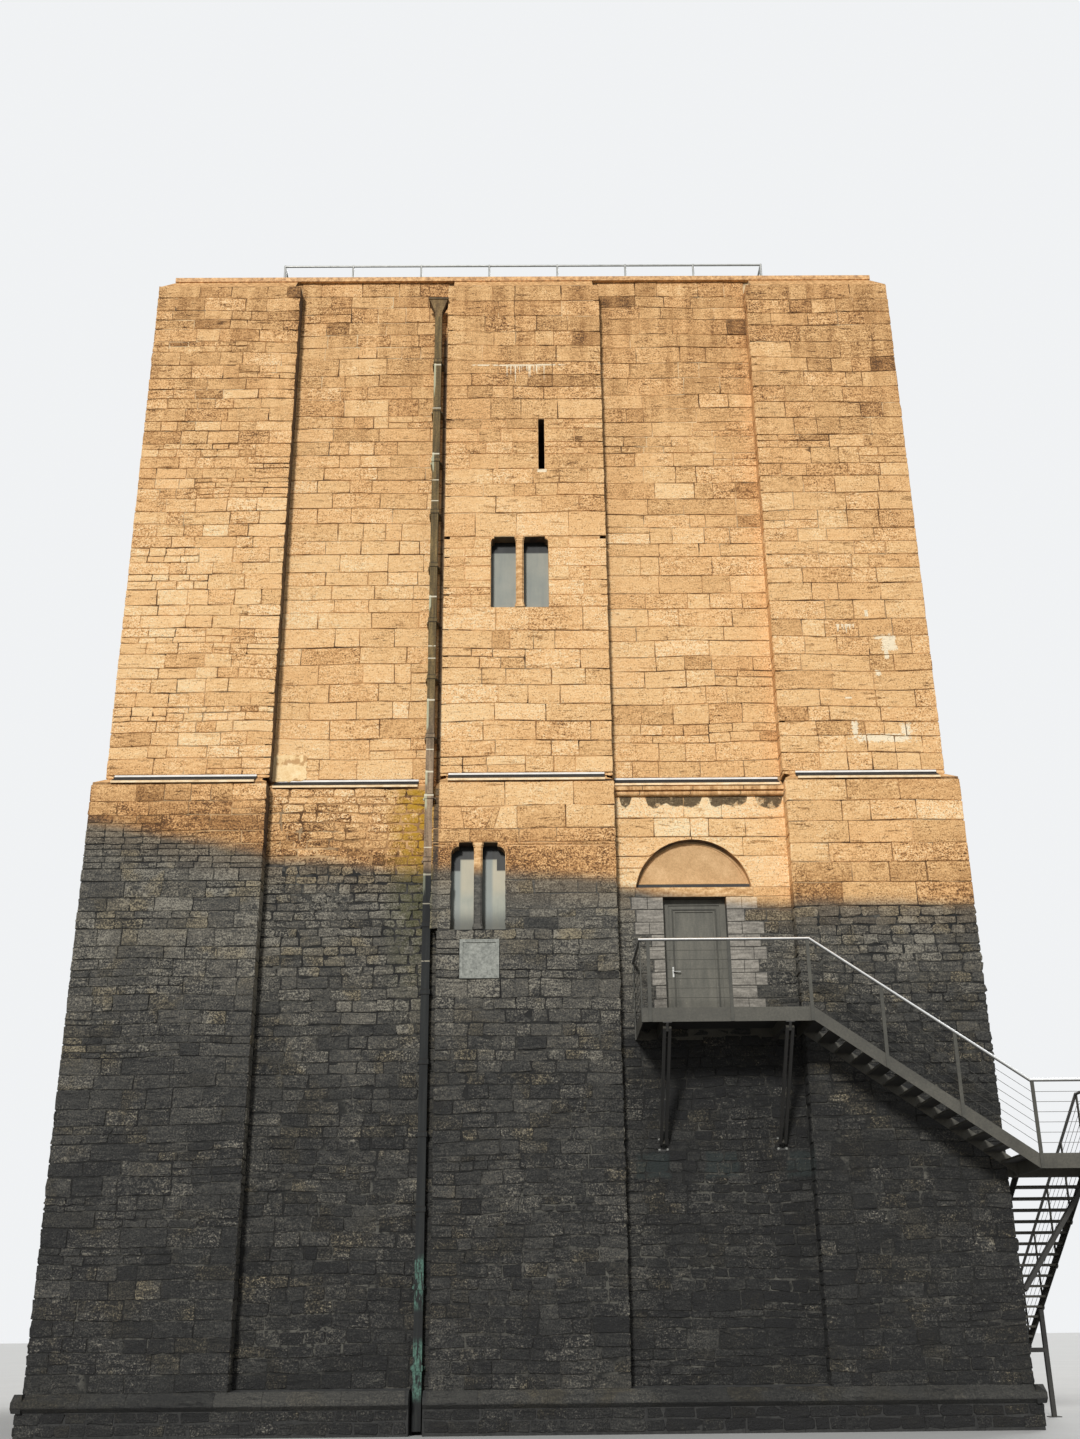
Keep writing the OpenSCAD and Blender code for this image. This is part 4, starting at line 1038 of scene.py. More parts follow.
doorway, lintel, vent = front_box("door_frame"), front_box("door_lintel"), front_box("vent_cover")
arch_low, arch_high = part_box("arch_panel")
arch_half = (arch_high.x - arch_low.x) / 2
arch_rise = arch_high.z - arch_low.z
arch_radius = (arch_half ** 2 + arch_rise ** 2) / (2 * arch_rise)
arch = (near(arch_low.x + arch_half), near(arch_high.z - arch_radius), near(arch_radius))
string_z = near(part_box("string_course")[0].z)
print("doorway", doorway, "lintel", lintel, "arch", arch, "vent", vent)

# %% [markdown]
# ## The four walls
# The corner pilasters share their beds round the corner, as quoins must. The upper
# stage is of larger, squarer stones, the lower one of rougher coursed rubble, and
# near the offset the lower stage is better cut again.

# %% Beds of the corners
WRAP = (0.020, 0.020)
TUCK = 0.035
CORNER_STYLES = {
    0: ("coursed", "squared", "squared", "squared"),
    1: ("rubble", "small", "large", "ashlar"),
    2: ("rubble", "coursed", "ashlar", "ashlar"),
    3: ("rubble", "coursed", "large", "squared"),
}
under_lead, over_lead = drip_z - 0.012, upstand_z + 0.004
CORNER_LEVELS = ((foot_z, 5.2), (5.2, 8.75), (8.75, under_lead), (over_lead, cap_z))
corner_beds = {}
for corner in range(4):
    rng = random.Random(40 + corner)
    for band, (style, levels) in enumerate(zip(CORNER_STYLES[corner], CORNER_LEVELS)):
        corner_beds[band, corner] = bed_levels(*levels, STYLES[style], rng)
print("the front left corner has", len(corner_beds[3, 0]) - 1, "upper courses")

# %% [markdown]
# The doorway was cut later. Its sides are toothed into the old wall with sawn blocks,
# pale and even, and two more such blocks are set over the arch.

# %% Pale new blocks beside the door
level = doorway[2] + 0.02
LEFT_TEETH = (2.33, 2.30, 2.34, 2.28, 2.33, 2.22, 2.30, 2.0, 2.03, 1.95)
RIGHT_TEETH = (4.12, 4.34, 4.20, 4.40, 4.26, 4.42, 4.32, 4.40, 4.05, 4.30)
PALE_BLOCKS = [(2.43, 3.12, 10.22, 10.60), (3.12, 3.47, 10.22, 10.60)]
tooth_h = (doorway[3] - level) / len(LEFT_TEETH)
door_teeth = []
for k, (left, right) in enumerate(zip(LEFT_TEETH, RIGHT_TEETH)):
    low, high = level + k * tooth_h, level + (k + 1) * tooth_h
    door_teeth.append((left, doorway[0], low, high))
    door_teeth.append((doorway[1], right, low, high))
print("pale blocks lie in", len(door_teeth), "short courses")

# %% [markdown]
# Each side of the lower stage is laid in the same order: its two corners with the
# faces that turn into the bays, the middle pilaster with its window, then the bays.

# %% Lay the lower stage of one side
jamb_blocks = Heap(90)
RELIEF = (-1.62, -0.18, low_window[1][3] + 0.27, low_window[1][3] + 0.72)
SMALL_TOP = 7.6
PILASTER_BANDS = ((foot_z, SMALL_TOP, "rubble"), (SMALL_TOP, 9.3, "coursed"), (9.3, under_lead, "large"))


def return_reach(end, out, back, tuck=TUCK):
    """How far a pilaster's side face runs. The end that meets the bay is tucked in behind its stones."""
    return (-out, -back) if end < 0 else (back - tuck, out)


def lay_low_corners(heap, quarter):
    for end, corner in ((-1, quarter), (1, (quarter + 1) % 4)):
        span = (-face, -corner_in) if end < 0 else (corner_in, face)
        side = return_panel(quarter, end * corner_in, -end)
        for band in range(3):
            beds, style = corner_beds[band, corner], CORNER_STYLES[corner][band]
            lay_panel(heap, wall_panel(quarter, face), span, style, beds=beds, wrap=WRAP)
            lay_panel(heap, side, return_reach(end, face, bay_face), style, beds=beds)


def lay_low_pilaster(heap, quarter):
    """The front's pilaster also gives way to the vent, the flat arch and the block repair."""
    front, wall = quarter == 0, wall_panel(quarter, face)
    holes = low_holes + ([vent, RELIEF] if front else [])
    forced = [low_holes[0][2], low_holes[0][3], low_window[1][3], *([*vent[2:], *RELIEF[2:]] if front else [])]
    rng = random.Random(300 + quarter)
    patch_low, patch_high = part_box("pilaster_patch")
    for low_end, high_end, style in PILASTER_BANDS:
        beds = bed_levels(low_end, high_end, STYLES[style], rng, forced)
        for low, high in zip(beds, beds[1:]):
            patched = front and patch_low.z < (low + high) / 2 < patch_high.z
            start = patch_low.x if patched else -centre_half
            lay_panel(heap, wall, (start, centre_half), style, beds=[low, high], holes=holes, wrap=WRAP)
            for end in (-1, 1):
                if not (patched and end < 0):
                    side = return_panel(quarter, end * centre_half, end)
                    lay_panel(heap, side, return_reach(-end, face, bay_face), style, beds=[low, high])
    corbels(heap, wall, low_window)


def lay_door_bay(heap, bay, span, ledge_z):
    """Rough stones below the door, sawn blocks beside it and large stones round the arch."""
    lay_panel(heap, bay, span, "coursed", (ledge_z, 2.15))
    lay_panel(heap, bay, span, "small", (2.15, doorway[2]))
    holes = [doorway, *door_teeth]
    lay_panel(heap, bay, span, "rubble", doorway[2:], forced=[tooth[2] for tooth in door_teeth], holes=holes)
    for tooth in door_teeth:
        lay_panel(jamb_blocks, bay, tooth[:2], "sawn", beds=list(tooth[2:]))
    forced, holes = [lintel[3], *PALE_BLOCKS[0][2:]], [lintel, *PALE_BLOCKS]
    lay_panel(heap, bay, span, "large", (doorway[3], string_z), forced=forced, holes=holes, arch=arch)
    for block in PALE_BLOCKS:
        heap.put(bay, block, STYLES["ashlar"], tone=0.86)


def lay_lower(quarter):
    heap, bay = Heap(100 + quarter), wall_panel(quarter, bay_face)
    ledge_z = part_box("plinth_ledges")[1].z
    lay_low_corners(heap, quarter)
    lay_low_pilaster(heap, quarter)
    for end in (-1, 1):
        span = (-corner_in, -centre_half) if end < 0 else (centre_half, corner_in)
        if quarter == 0 and end > 0:
            lay_door_bay(heap, bay, span, ledge_z)
        else:
            lay_panel(heap, bay, span, "rubble", (ledge_z, SMALL_TOP))
            lay_panel(heap, bay, span, "small" if quarter == 0 else "rubble", (SMALL_TOP, under_lead))
    return heap


lower_heaps = {quarter: lay_lower(quarter) for quarter in range(4)}
print("lower stage:", sum(len(heap.stones) for heap in lower_heaps.values()), "stones")

# %% [markdown]
# Over the lower window of the front a flat relieving arch takes the load: wedge
# shaped stones that lean towards its middle. They get outlines of their own.

# %% Wedge stones over the lower window


def wedges(heap, panel, xs_low, xs_high, low, high, tones):
    """Stones side by side between two heights, from the places of their joints at the foot and at the top."""
    gap = 0.006
    for k, tone in enumerate(tones):
        a, b, c, d = xs_low[k] + gap, xs_low[k + 1] - gap, xs_high[k + 1] - gap, xs_high[k] + gap
        heap.put_shape(panel, divided(((a, low), (b, low), (c, high), (d, high)), 3), STYLES["ashlar"], tone)


wedges(
    lower_heaps[0], wall_panel(0, face), (-1.62, -1.17, -0.78, -0.62, -0.18), (-1.62, -1.24, -0.60, -0.50, -0.18),
    RELIEF[2] + 0.01, RELIEF[3] - 0.01, (0.62, 0.55, 0.45, 0.8),
)
print("stones of the lower front with an outline of their own:", len(lower_heaps[0].shaped))

# %% [markdown]
# The upper stage stands back behind the lead. Where the lead doesn't cover the
# slope, short stones fill the height up to the first whole course.

# %% Lay the upper stage of one side


def fill_gaps(heap, panel, ends, covered, style, wrap=(0, 0)):
    """Short stones beside the lead, between the offset and the first whole course."""
    lead = [(start, end, slope_top, upstand_z) for start, end in covered]
    for start, end in clear_of(*ends, slope_top, upstand_z, lead):
        if end - start > 0.1:
            row = (start, end, slope_top + 0.004, upstand_z + 0.002)
            heap.put(panel, row, STYLES[style], grow=at_ends(start, end, ends, wrap))


def lay_upper(quarter):
    heap = Heap(200 + quarter)
    wall, bay = wall_panel(quarter, up_face), wall_panel(quarter, up_bay_face)
    for end, corner in ((-1, quarter), (1, (quarter + 1) % 4)):
        beds, style = corner_beds[3, corner], CORNER_STYLES[corner][3]
        span = (-up_face, -up_corner_in) if end < 0 else (up_corner_in, up_face)
        lay_panel(heap, wall, span, style, beds=beds, wrap=WRAP)
        fill_gaps(heap, wall, span, lead_spans(up_face), style, WRAP)
        side = return_panel(quarter, end * up_corner_in, -end)
        lay_panel(heap, side, return_reach(end, up_face, up_bay_face), style, beds=[slope_top, *beds])
    span = (-up_centre_half, up_centre_half)
    forced = [up_holes[0][2], up_holes[0][3], up_window[1][3], slit[2], slit[3]]
    beds = bed_levels(over_lead, cap_z, STYLES["ashlar"], random.Random(400 + quarter), forced)
    lay_panel(heap, wall, span, "ashlar", beds=beds, holes=up_holes + [slit], wrap=WRAP)
    fill_gaps(heap, wall, span, lead_spans(up_face), "ashlar", WRAP)
    corbels(heap, wall, up_window)
    bays = [(-up_corner_in, -up_centre_half), (up_centre_half, up_corner_in)]
    for end, span in zip((-1, 1), bays):
        side = return_panel(quarter, end * up_centre_half, end)
        lay_panel(heap, side, return_reach(-end, up_face, up_bay_face, 0.0), "ashlar", beds=[slope_top, *beds])
        lay_panel(heap, bay, span, "ashlar", (over_lead, top_z))
        fill_gaps(heap, bay, span, lead_spans(up_bay_face) if quarter == 0 else bays, "ashlar")
    return heap


upper_heaps = {quarter: lay_upper(quarter) for quarter in range(4)}
print("upper stage:", sum(len(heap.stones) for heap in upper_heaps.values()), "stones")

# %% [markdown]
# ## Plinth
# Under the walls runs a rough base of small stones and over it a moulded string of
# long blocks. The base is laid like the walls. The string's blocks follow the
# moulding's outline a few millimetres outside the solid one, with joints between.

# %% Base stones of the plinth
plinth_points = points_of("right_plinth")
base_face = near(plinth_points[plinth_points[:, 2] < 1e-3][:, 0].max())
nose_face = near(plinth_points[:, 0].max())
nose_zs = sorted({near(z) for z in plinth_points[plinth_points[:, 0] > nose_face - 1e-3][:, 2]})
over_base = plinth_points[(plinth_points[:, 0] > base_face - 1e-3) & (plinth_points[:, 0] < nose_face - 0.01)]
base_top = near(over_base[:, 2].max())
for quarter, heap in lower_heaps.items():
    spans = [(-base_face, base_face)]
    if quarter == 0:
        spans = [(-base_face, pipe_low.x - 0.04), (pipe_high.x + 0.04, base_face)]
    for span in spans:
        lay_panel(heap, wall_panel(quarter, base_face), span, "rubble", (0.036, base_top), wrap=WRAP)
print("plinth base is", base_top, "high and stands at", base_face)

# %% [markdown]
# All heaps are complete now, so each becomes one mesh: a lower and an upper piece for
# each side of the tower, and the sawn blocks beside the door.

# %% Raise the stones of all walls
SIDES = ("front", "right", "back", "left")
for quarter, side in enumerate(SIDES):
    raise_heap(lower_heaps[quarter], side + "_lower_stones", "weathered_limestone")
    upper = "limed_limestone" if quarter == 0 else "weathered_limestone"
    raise_heap(upper_heaps[quarter], side + "_upper_stones", upper)
raise_heap(jamb_blocks, "door_jamb_blocks", "sawn_limestone")

# %% [markdown]
# The blocks of the moulded string have an outline of their own, drawn out along each
# side and broken off on both sides of the rain pipe.

# %% Moulded blocks of the plinth string


def profile_block(points, faces, outline, start, end, place):
    """Adds a block of an outline (outward, z) drawn out between two ends."""
    first = len(points)
    for u in (start, end):
        points.extend(place(u, out, z) for out, z in outline)
    n = len(outline)
    for k in range(n):
        m = (k + 1) % n
        faces.append([first + k, first + n + k, first + n + m, first + m])
    faces.append([first + k for k in range(n)])
    faces.append([first + n + k for k in reversed(range(n))])
    return n + 2


def side_place(quarter):
    """A function that places (along, outward, z) on one side of the tower."""
    panel = wall_panel(quarter, 0)

    def place(u, out, z):
        xy = panel.base + panel.along * u + panel.outward * out
        return (xy[0], xy[1], z)

    return place


PALE_START, PALE_END = -5.2, -1.9


def string_tone(quarter, at, rng):
    """Tone of a block of the string: on the front they are pale beside the pipe and again towards the stair."""
    if quarter == 0 and PALE_START < at < PALE_END:
        return 0.76
    tone = rng.gauss(0.46, 0.05)
    if quarter == 0:
        tone += 0.18 + at * 0.05 if at > PALE_END else -0.14
    return tone


PROUD, PIPE_GAP, BLOCK_GAP = 0.007, 0.05, 0.004
string_outline = [
    (face - 0.02, base_top - 0.01), (base_face + PROUD, base_top), (nose_face + PROUD, nose_zs[0] - 0.004),
    (nose_face + PROUD, nose_zs[-1] + 0.004), (face + 0.004, foot_z + PROUD), (face - 0.02, foot_z + PROUD),
]
points, faces, tones, shifts = [], [], [], []
rng = random.Random(9)
for quarter in range(4):
    u, stop = -nose_face - PROUD, nose_face + PROUD
    while u < stop - 0.01:
        end = min(u + rng.uniform(0.75, 1.5), stop)
        if stop - end < 0.4:
            end = stop
        parts = [(u + BLOCK_GAP, end - BLOCK_GAP)]
        if quarter == 0 and parts[0][0] < pipe_high.x + PIPE_GAP and parts[0][1] > pipe_low.x - PIPE_GAP:
            parts = [(parts[0][0], pipe_low.x - PIPE_GAP), (pipe_high.x + PIPE_GAP, parts[0][1])]
        for a, b in parts:
            if b - a > 0.05:
                made = profile_block(points, faces, string_outline, a, b, side_place(quarter))
                tones += [string_tone(quarter, a, rng)] * made
                shifts += [rng.random()] * made
        u = end
values = {"tone": tones, "shift": shifts, "damp": [0.0] * len(tones)}
make_piece("plinth_string_blocks", points, faces, "smooth_limestone", values)
print("plinth string has", len(faces), "faces")

# %% [markdown]
# ## Lead, steel, paint and glass
# The fittings have plain shapes in the solids already, so they keep them and get
# finishes. Lead has gone white, the rain pipe is brown in the light with green
# copper-like stains near the ground, and the stair's paint is a warm grey that wear
# and dust make uneven. Lead, plaster, roof and metal come first.

# %% Lead, plaster and roof


def two_noises(place, broad, grain, share=0.65):
    """A value near a half: a share of broad clouds, and the rest of fine grain."""
    return place.noise(broad, 5.0, 0.6) * share + place.noise(grain, 3.0) * (1 - share)


def plain_finish(name, dark, light, roughness, scale=6.0, grain=50.0, metallic=0.0, depth=0.004, strength=0.4):
    material, place = start_finish(name)
    fine = place.noise(grain, 3.0)
    value = place.noise(scale, 5.0, 0.6) * 0.65 + fine * 0.35
    colour = value.ramp((0.32, tint(*dark)), (0.68, tint(*light)))
    return end_finish(material, colour, (fine - 0.5) * 0.2 + roughness, value, depth, strength, metallic)


def old_lead():
    """White lead along the turned-up edge, a painted black shadow in the fold under it, deeper on the front, and a pale
    dusty slope.
    """
    material, place = start_finish("old_lead")
    z = place.part("Z") - slope_top
    value = place.stretched(1.0, 1.0, 3.0).noise(5.0, 5.0, 0.6) * 0.65 + place.noise(50.0, 3.0) * 0.35
    white = value.ramp((0.32, tint(228, 222, 214)), (0.66, tint(255, 252, 246)))
    dust = (value * 1.2 - 0.1).ramp((0.3, tint(206, 172, 126)), (0.5, tint(246, 218, 174)), (0.7, tint(255, 240, 208)))
    edge = z.step(0.036, 0.042)
    deep = on_front(place) * 0.085 + 0.025
    # The fold's black is a painted shadow; faces that look straight up keep their colour.
    fold = (z + deep).step(0.0, 0.008) * (1 - edge) * (1 - facing(place, "Z").step(0.9, 0.98))
    colour = fold.mixed(edge.mixed(dust, white), tint(10, 9, 8))
    return end_finish(material, shaded(place, colour, 0.3), 0.75, value, 0.004, 0.4)


def old_plaster():
    material, place = start_finish("lime_plaster")
    value = two_noises(place, 7.0, 40.0, 0.6)
    colour = value.ramp((0.34, tint(226, 184, 128)), (0.5, tint(246, 214, 160)), (0.66, tint(255, 232, 188)))
    stain = place.stretched(1.0, 1.0, 0.7).noise(4.2, 3.0, 0.5).step(0.58, 0.63)
    colour = (stain * 0.75).mixed(colour, tint(182, 134, 82))
    return end_finish(material, colour, 0.85, value, 0.004, 0.4)


def stainless():
    """Bright brushed tube, with painted shade along its underside, which is also rougher and less metallic."""
    material, place = start_finish("stainless")
    value = two_noises(place, 12.0, 50.0)
    shaded_underside = 1 - facing(place, "Z").step(-0.35, 0.05)
    colour = (shaded_underside * 0.9).mixed(value.ramp((0.32, tint(228, 228, 224)), (0.68, tint(255, 255, 253))), tint(52, 51, 48))
    return end_finish(material, colour, 0.34 + shaded_underside * 0.4, value, 0.002, 0.3, 1 - shaded_underside * 0.8)


def roof_lead():
    """Grey sheets on top, and weathered stone where the same solid shows at the wall's edge."""
    material, place = start_finish("roof_lead")
    value = two_noises(place, 1.2, 50.0)
    lead = value.ramp((0.32, tint(126, 128, 126)), (0.68, tint(170, 170, 164)))
    # The coping takes the stone's painted sunlit palette.
    stone = ((place.noise(11.0, 4.0, 0.8) - 0.5) * 1.3 + 0.36).ramp(*SUNLIT_STOPS)
    colour = facing(place, "Z").step(0.3, 0.6).mixed(stone, lead)
    return end_finish(material, colour, 0.6, value, 0.006, 0.4)


def floor_boards():
    material, place = start_finish("floor_boards")
    grain = place.stretched(1.0, 14.0, 14.0).noise(2.0, 5.0, 0.65, 0.6)
    colour = grain.ramp((0.3, tint(84, 62, 40)), (0.7, tint(142, 110, 74)))
    return end_finish(material, colour, 0.7, grain, 0.004, 0.4)


finishes["stainless"] = stainless()
finishes["old_lead"] = old_lead()
finishes["lime_plaster"] = old_plaster()
finishes["roof_lead"] = roof_lead()
finishes["floor_boards"] = floor_boards()
finishes["paving"] = plain_finish("paving", (96, 92, 86), (134, 130, 122), 0.85, 2.0)
finishes["brushed_steel"] = plain_finish("brushed_steel", (132, 132, 128), (176, 176, 172), 0.42, 12.0, metallic=0.6)
finishes["zinc"] = plain_finish("zinc", (96, 96, 92), (150, 150, 144), 0.6, 20.0)
finishes["vent_plate"] = plain_finish("vent_plate", (78, 81, 75), (160, 162, 153), 0.6, 16.0, grain=30.0, strength=1.0)
coat("old_lead", "offset_flashings")
coat("roof_lead", "roof_covering")
coat("paving", "ground_floor")
coat("floor_boards", "door_floor", "hall_floor", "roof_deck")
coat("brushed_steel", "door_handle", "roof_railing_front_back", "roof_railing_sides")
coat("vent_plate", "vent_cover")

# %% [markdown]
# The render in the arch is smooth and tan. The moulded string over the door and the
# plinth are of one darker stone, with upright joints at even distances.

# %% Plinth, string course and arch panel


def arch_render():
    material, place = start_finish("arch_render")
    value = place.noise(2.2, 5.0, 0.65) * 0.55 + place.noise(40.0, 3.0, 0.7) * 0.45
    # A sunlit and a shaded copy of the render, which meet at the painted shadow's edge.
    warm = value.ramp((0.34, tint(176, 138, 92)), (0.5, tint(206, 166, 118)), (0.66, tint(228, 190, 142)))
    cold = value.ramp((0.34, tint(92, 84, 72)), (0.66, tint(124, 114, 98)))
    return end_finish(material, sunlit_part(place).mixed(cold, warm), 0.85, value, 0.004, 0.4)


def string_stone():
    material, place = start_finish("string_stone")
    value = place.stretched(5.0, 5.0, 1.0).noise(1.6, 5.0, 0.7) * 0.6 + place.noise(24.0, 4.0, 0.75) * 0.4
    joint = butt_joints(place, 0.97, 0.013)
    # Sunlit and shaded copies of the stone and of its joints meet at the painted shadow's edge.
    warm = value.ramp((0.36, tint(150, 110, 70)), (0.5, tint(212, 166, 112)), (0.64, tint(246, 208, 156)))
    cold = value.ramp((0.36, tint(30, 30, 30)), (0.64, tint(58, 58, 56)))
    joint_colour = above_shadow_line(place).step(-0.2, 0.2).mixed(tint(24, 24, 23), tint(84, 62, 42))
    colour = joint.mixed(sunlit_part(place).mixed(cold, warm), joint_colour)
    return end_finish(material, colour, 0.88, value - joint * 0.8, 0.012, 0.6)


finishes["arch_render"] = arch_render()
finishes["string_stone"] = string_stone()
coat("arch_render", "arch_panel")
coat("string_stone", "string_course", "front_plinth", "back_plinth", "left_plinth", "right_plinth")

# %% [markdown]
# The rain pipe has a seam at both ends of each socket. Pale runs hang below some of
# the joints on its left half, pale rings are left on others, and two green stains lie
# near the ground. The iron is painted sunlit above the shadow's edge and in shade below
# it, and its right edge is painted in shade.

# %% Rain pipe
FIRST_SOCKET, SOCKET_PITCH, SOCKET_H = 0.96, 1.25, 0.09
GREEN_LEVELS = ((2.33, 0.30, 0.48), (0.98, 0.34, 0.52))
PALE_RUNS = ((20.93, 1.0), (18.68, 0.62), (15.31, 0.45), (13.04, 0.8), (11.54, 0.4), (11.06, 0.4), (9.49, 0.5))
PALE_RINGS = (19.78, 18.01, 17.51, 14.18, 13.91, 11.97, 9.99, 8.90, 7.82)


def pipe_metal():
    """Dark painted iron with pale runs under some joints and green stains near the ground, painted sunlit above the
    shadow's edge and in shade below it.
    """
    material, place = start_finish("pipe_metal")
    x, z = place.part("X"), place.part("Z")
    grain = place.noise(30.0, 4.0, 0.7)
    value = place.stretched(9.0, 9.0, 0.6).noise(2.0, 5.0) * 0.6 + grain * 0.4
    # A sunlit and a shaded copy of the iron, which meet at the painted shadow's edge.
    warm = value.ramp((0.36, tint(64, 52, 30)), (0.5, tint(102, 85, 53)), (0.66, tint(146, 122, 78)))
    rusty = value.ramp((0.36, tint(104, 88, 70)), (0.5, tint(148, 126, 102)), (0.66, tint(184, 160, 130)))
    warm = (1 - z.step(11.6, 13.4)).mixed(warm, rusty)
    cold = value.ramp((0.36, tint(15, 17, 17)), (0.5, tint(26, 28, 28)), (0.66, tint(42, 44, 42)))
    lit = sunlit_part(place)
    colour = lit.mixed(cold, warm)

    phase = (z - FIRST_SOCKET).sum_with(SOCKET_PITCH, "MODULO")
    seam = (1 - phase.size().step(0.008, 0.020)).largest(1 - (phase - SOCKET_H).size().step(0.008, 0.020))
    colour = (seam * 0.6).mixed(colour, tint(24, 20, 15))

    # Painted shade down the pipe's right edge.
    side = (x - pipe_high.x + 0.012).step(0.0, 0.012)
    front = 1 - (x - pipe_low.x - 0.075).step(0.0, 0.02)
    ragged = place.stretched(14.0, 14.0, 0.9).noise(1.6, 4.0, 0.7)
    run, ring = side * 0.0, side * 0.0
    for top, length in PALE_RUNS:
        fade = (z - top + length) / length
        run = run.largest((fade * 0.75 + ragged - 0.62).step(0.0, 0.16) * (z < top) * (z > top - length))
        ring = ring.largest(1 - (z - top + 0.03).size().step(0.010, 0.022))
    for at in PALE_RINGS:
        ring = ring.largest(1 - (z - at).size().step(0.007, 0.014))
    broken = place.noise(9.0, 3.0, 0.7).step(0.30, 0.44) * (1 - side * 0.8)
    # Runs and rings are paler where the pipe is painted sunlit.
    colour = (run * front * (lit * 0.35 + 0.28)).mixed(colour, tint(206, 208, 176))
    colour = (ring * broken * (lit * 0.35 + 0.40)).mixed(colour, tint(236, 226, 200))

    high_green, low_green = (1 - (z - at).size().step(inner, outer) for at, inner, outer in GREEN_LEVELS)
    green = high_green.largest(low_green) * place.stretched(5.0, 5.0, 1.0).noise(5.0, 5.0, 0.7).step(0.44, 0.54)
    colour = (green * 0.85).mixed(colour, grain.ramp((0.35, tint(52, 80, 71)), (0.65, tint(98, 134, 119))))
    colour = (side * 0.72).mixed(colour, tint(30, 27, 23))
    return end_finish(material, colour, 0.78 + grain * 0.15, value, 0.004, 0.5)


def hopper_metal():
    material, place = start_finish("hopper_metal")
    value = place.stretched(4.0, 4.0, 0.8).noise(2.0, 5.0) * 0.6 + place.noise(30.0, 4.0, 0.7) * 0.4
    colour = value.ramp((0.36, tint(84, 64, 38)), (0.5, tint(124, 99, 62)), (0.66, tint(166, 138, 92)))
    rim = place.part("Z").step(hopper_top - 0.05, hopper_top - 0.035)
    colour = (rim * 0.7).mixed(colour, tint(46, 36, 24))
    # Painted shade on the hopper's side faces.
    colour = (facing(place, "X").size().step(0.3, 0.6) * 0.7).mixed(colour, tint(40, 32, 22))
    return end_finish(material, colour, 0.8, value, 0.004, 0.5)


finishes["hopper_metal"] = hopper_metal()
finishes["pipe_metal"] = pipe_metal()
coat("pipe_metal", "downpipe")
coat("hopper_metal", "rainwater_hopper")

# %% [markdown]
# Paint is one finish in three tones: lighter on the platform, darker on the posts and
# darkest on the struts. These tones, and the door's, are as dark as the paint looks in
# the shade of the lower tower, so they hold painted shade. What faces up is lighter,
# and what faces down is nearly black with painted shade.

# %% Paint of the stair and the door


def steel_paint(name, dark, middle, light, below):
    """Worn grey paint, lighter on top and nearly black with painted shade where a face looks down."""
    material, place = start_finish(name)
    up = facing(place, "Z")
    value = place.noise(1.6, 5.0, 0.65) * 0.55 + place.noise(26.0, 4.0, 0.7) * 0.45
    colour = value.ramp((0.36, tint(*dark)), (0.5, tint(*middle)), (0.66, tint(*light)))
    colour = (up.step(0.5, 0.9) * 0.4).mixed(colour, tint(108, 104, 92))
    # Faces that look down are nearly black with painted shade.
    colour = (1 - up.step(-0.9, -0.3)).mixed(colour, tint(*below))
    chips = place.noise(17.0, 6.0, 0.7).step(0.66, 0.71)
    colour = (chips * 0.55).mixed(colour, tint(60, 48, 38))
    return end_finish(material, colour, 0.68, value, 0.002, 0.3)


def door_paint():
    """The same paint on the door, with pale specks on its lower half, a darker foot, and painted shade on its
    undersides and on its sides that face right.
    """
    material, place = start_finish("door_paint")
    z = place.part("Z")
    value = place.stretched(5.0, 5.0, 0.8).noise(2.0, 4.0) * 0.6 + place.noise(30.0, 4.0, 0.7) * 0.4
    colour = value.ramp((0.36, tint(78, 77, 69)), (0.5, tint(92, 90, 81)), (0.66, tint(108, 105, 94)))
    specks = (1 - place.cells(9.0).step(0.03, 0.10)) * place.noise(2.0, 2.0).step(0.45, 0.6)
    colour = (specks * (1 - z.step(7.6, 8.4)) * 0.6).mixed(colour, tint(160, 156, 146))
    colour = ((1 - z.step(6.6, 6.95)) * 0.4).mixed(colour, tint(78, 74, 66))
    return end_finish(material, shaded(place, colour, 0.6), 0.68, value, 0.002, 0.3)


finishes["steel_paint"] = steel_paint("steel_paint", (58, 56, 50), (72, 70, 62), (90, 87, 78), (24, 23, 21))
finishes["post_paint"] = steel_paint("post_paint", (52, 51, 45), (65, 64, 57), (82, 80, 71), (30, 29, 27))
finishes["strut_paint"] = steel_paint("strut_paint", (30, 29, 27), (43, 42, 39), (62, 60, 55), (20, 19, 18))
finishes["door_paint"] = door_paint()
coat("steel_paint", "door_platform", "corner_landing", "stair_stringers", "upper_flight_treads", "lower_flight_treads")
coat("post_paint", "platform_railing", "upper_flight_railing", "landing_railing", "lower_flight_railing")
coat("strut_paint", "stair_struts", "lower_flight_legs")
coat("door_paint", "door_frame", "door_leaf")

# %% [markdown]
# The panes are dusty and reflect little. The lower windows show bands that follow
# their frames: a painted tan reflection near the head, a painted shadow down the left
# side of each light, painted black shadow under the head and a dark foot. These are
# measured from the sill, the head and the mullion.

# %% Window glass


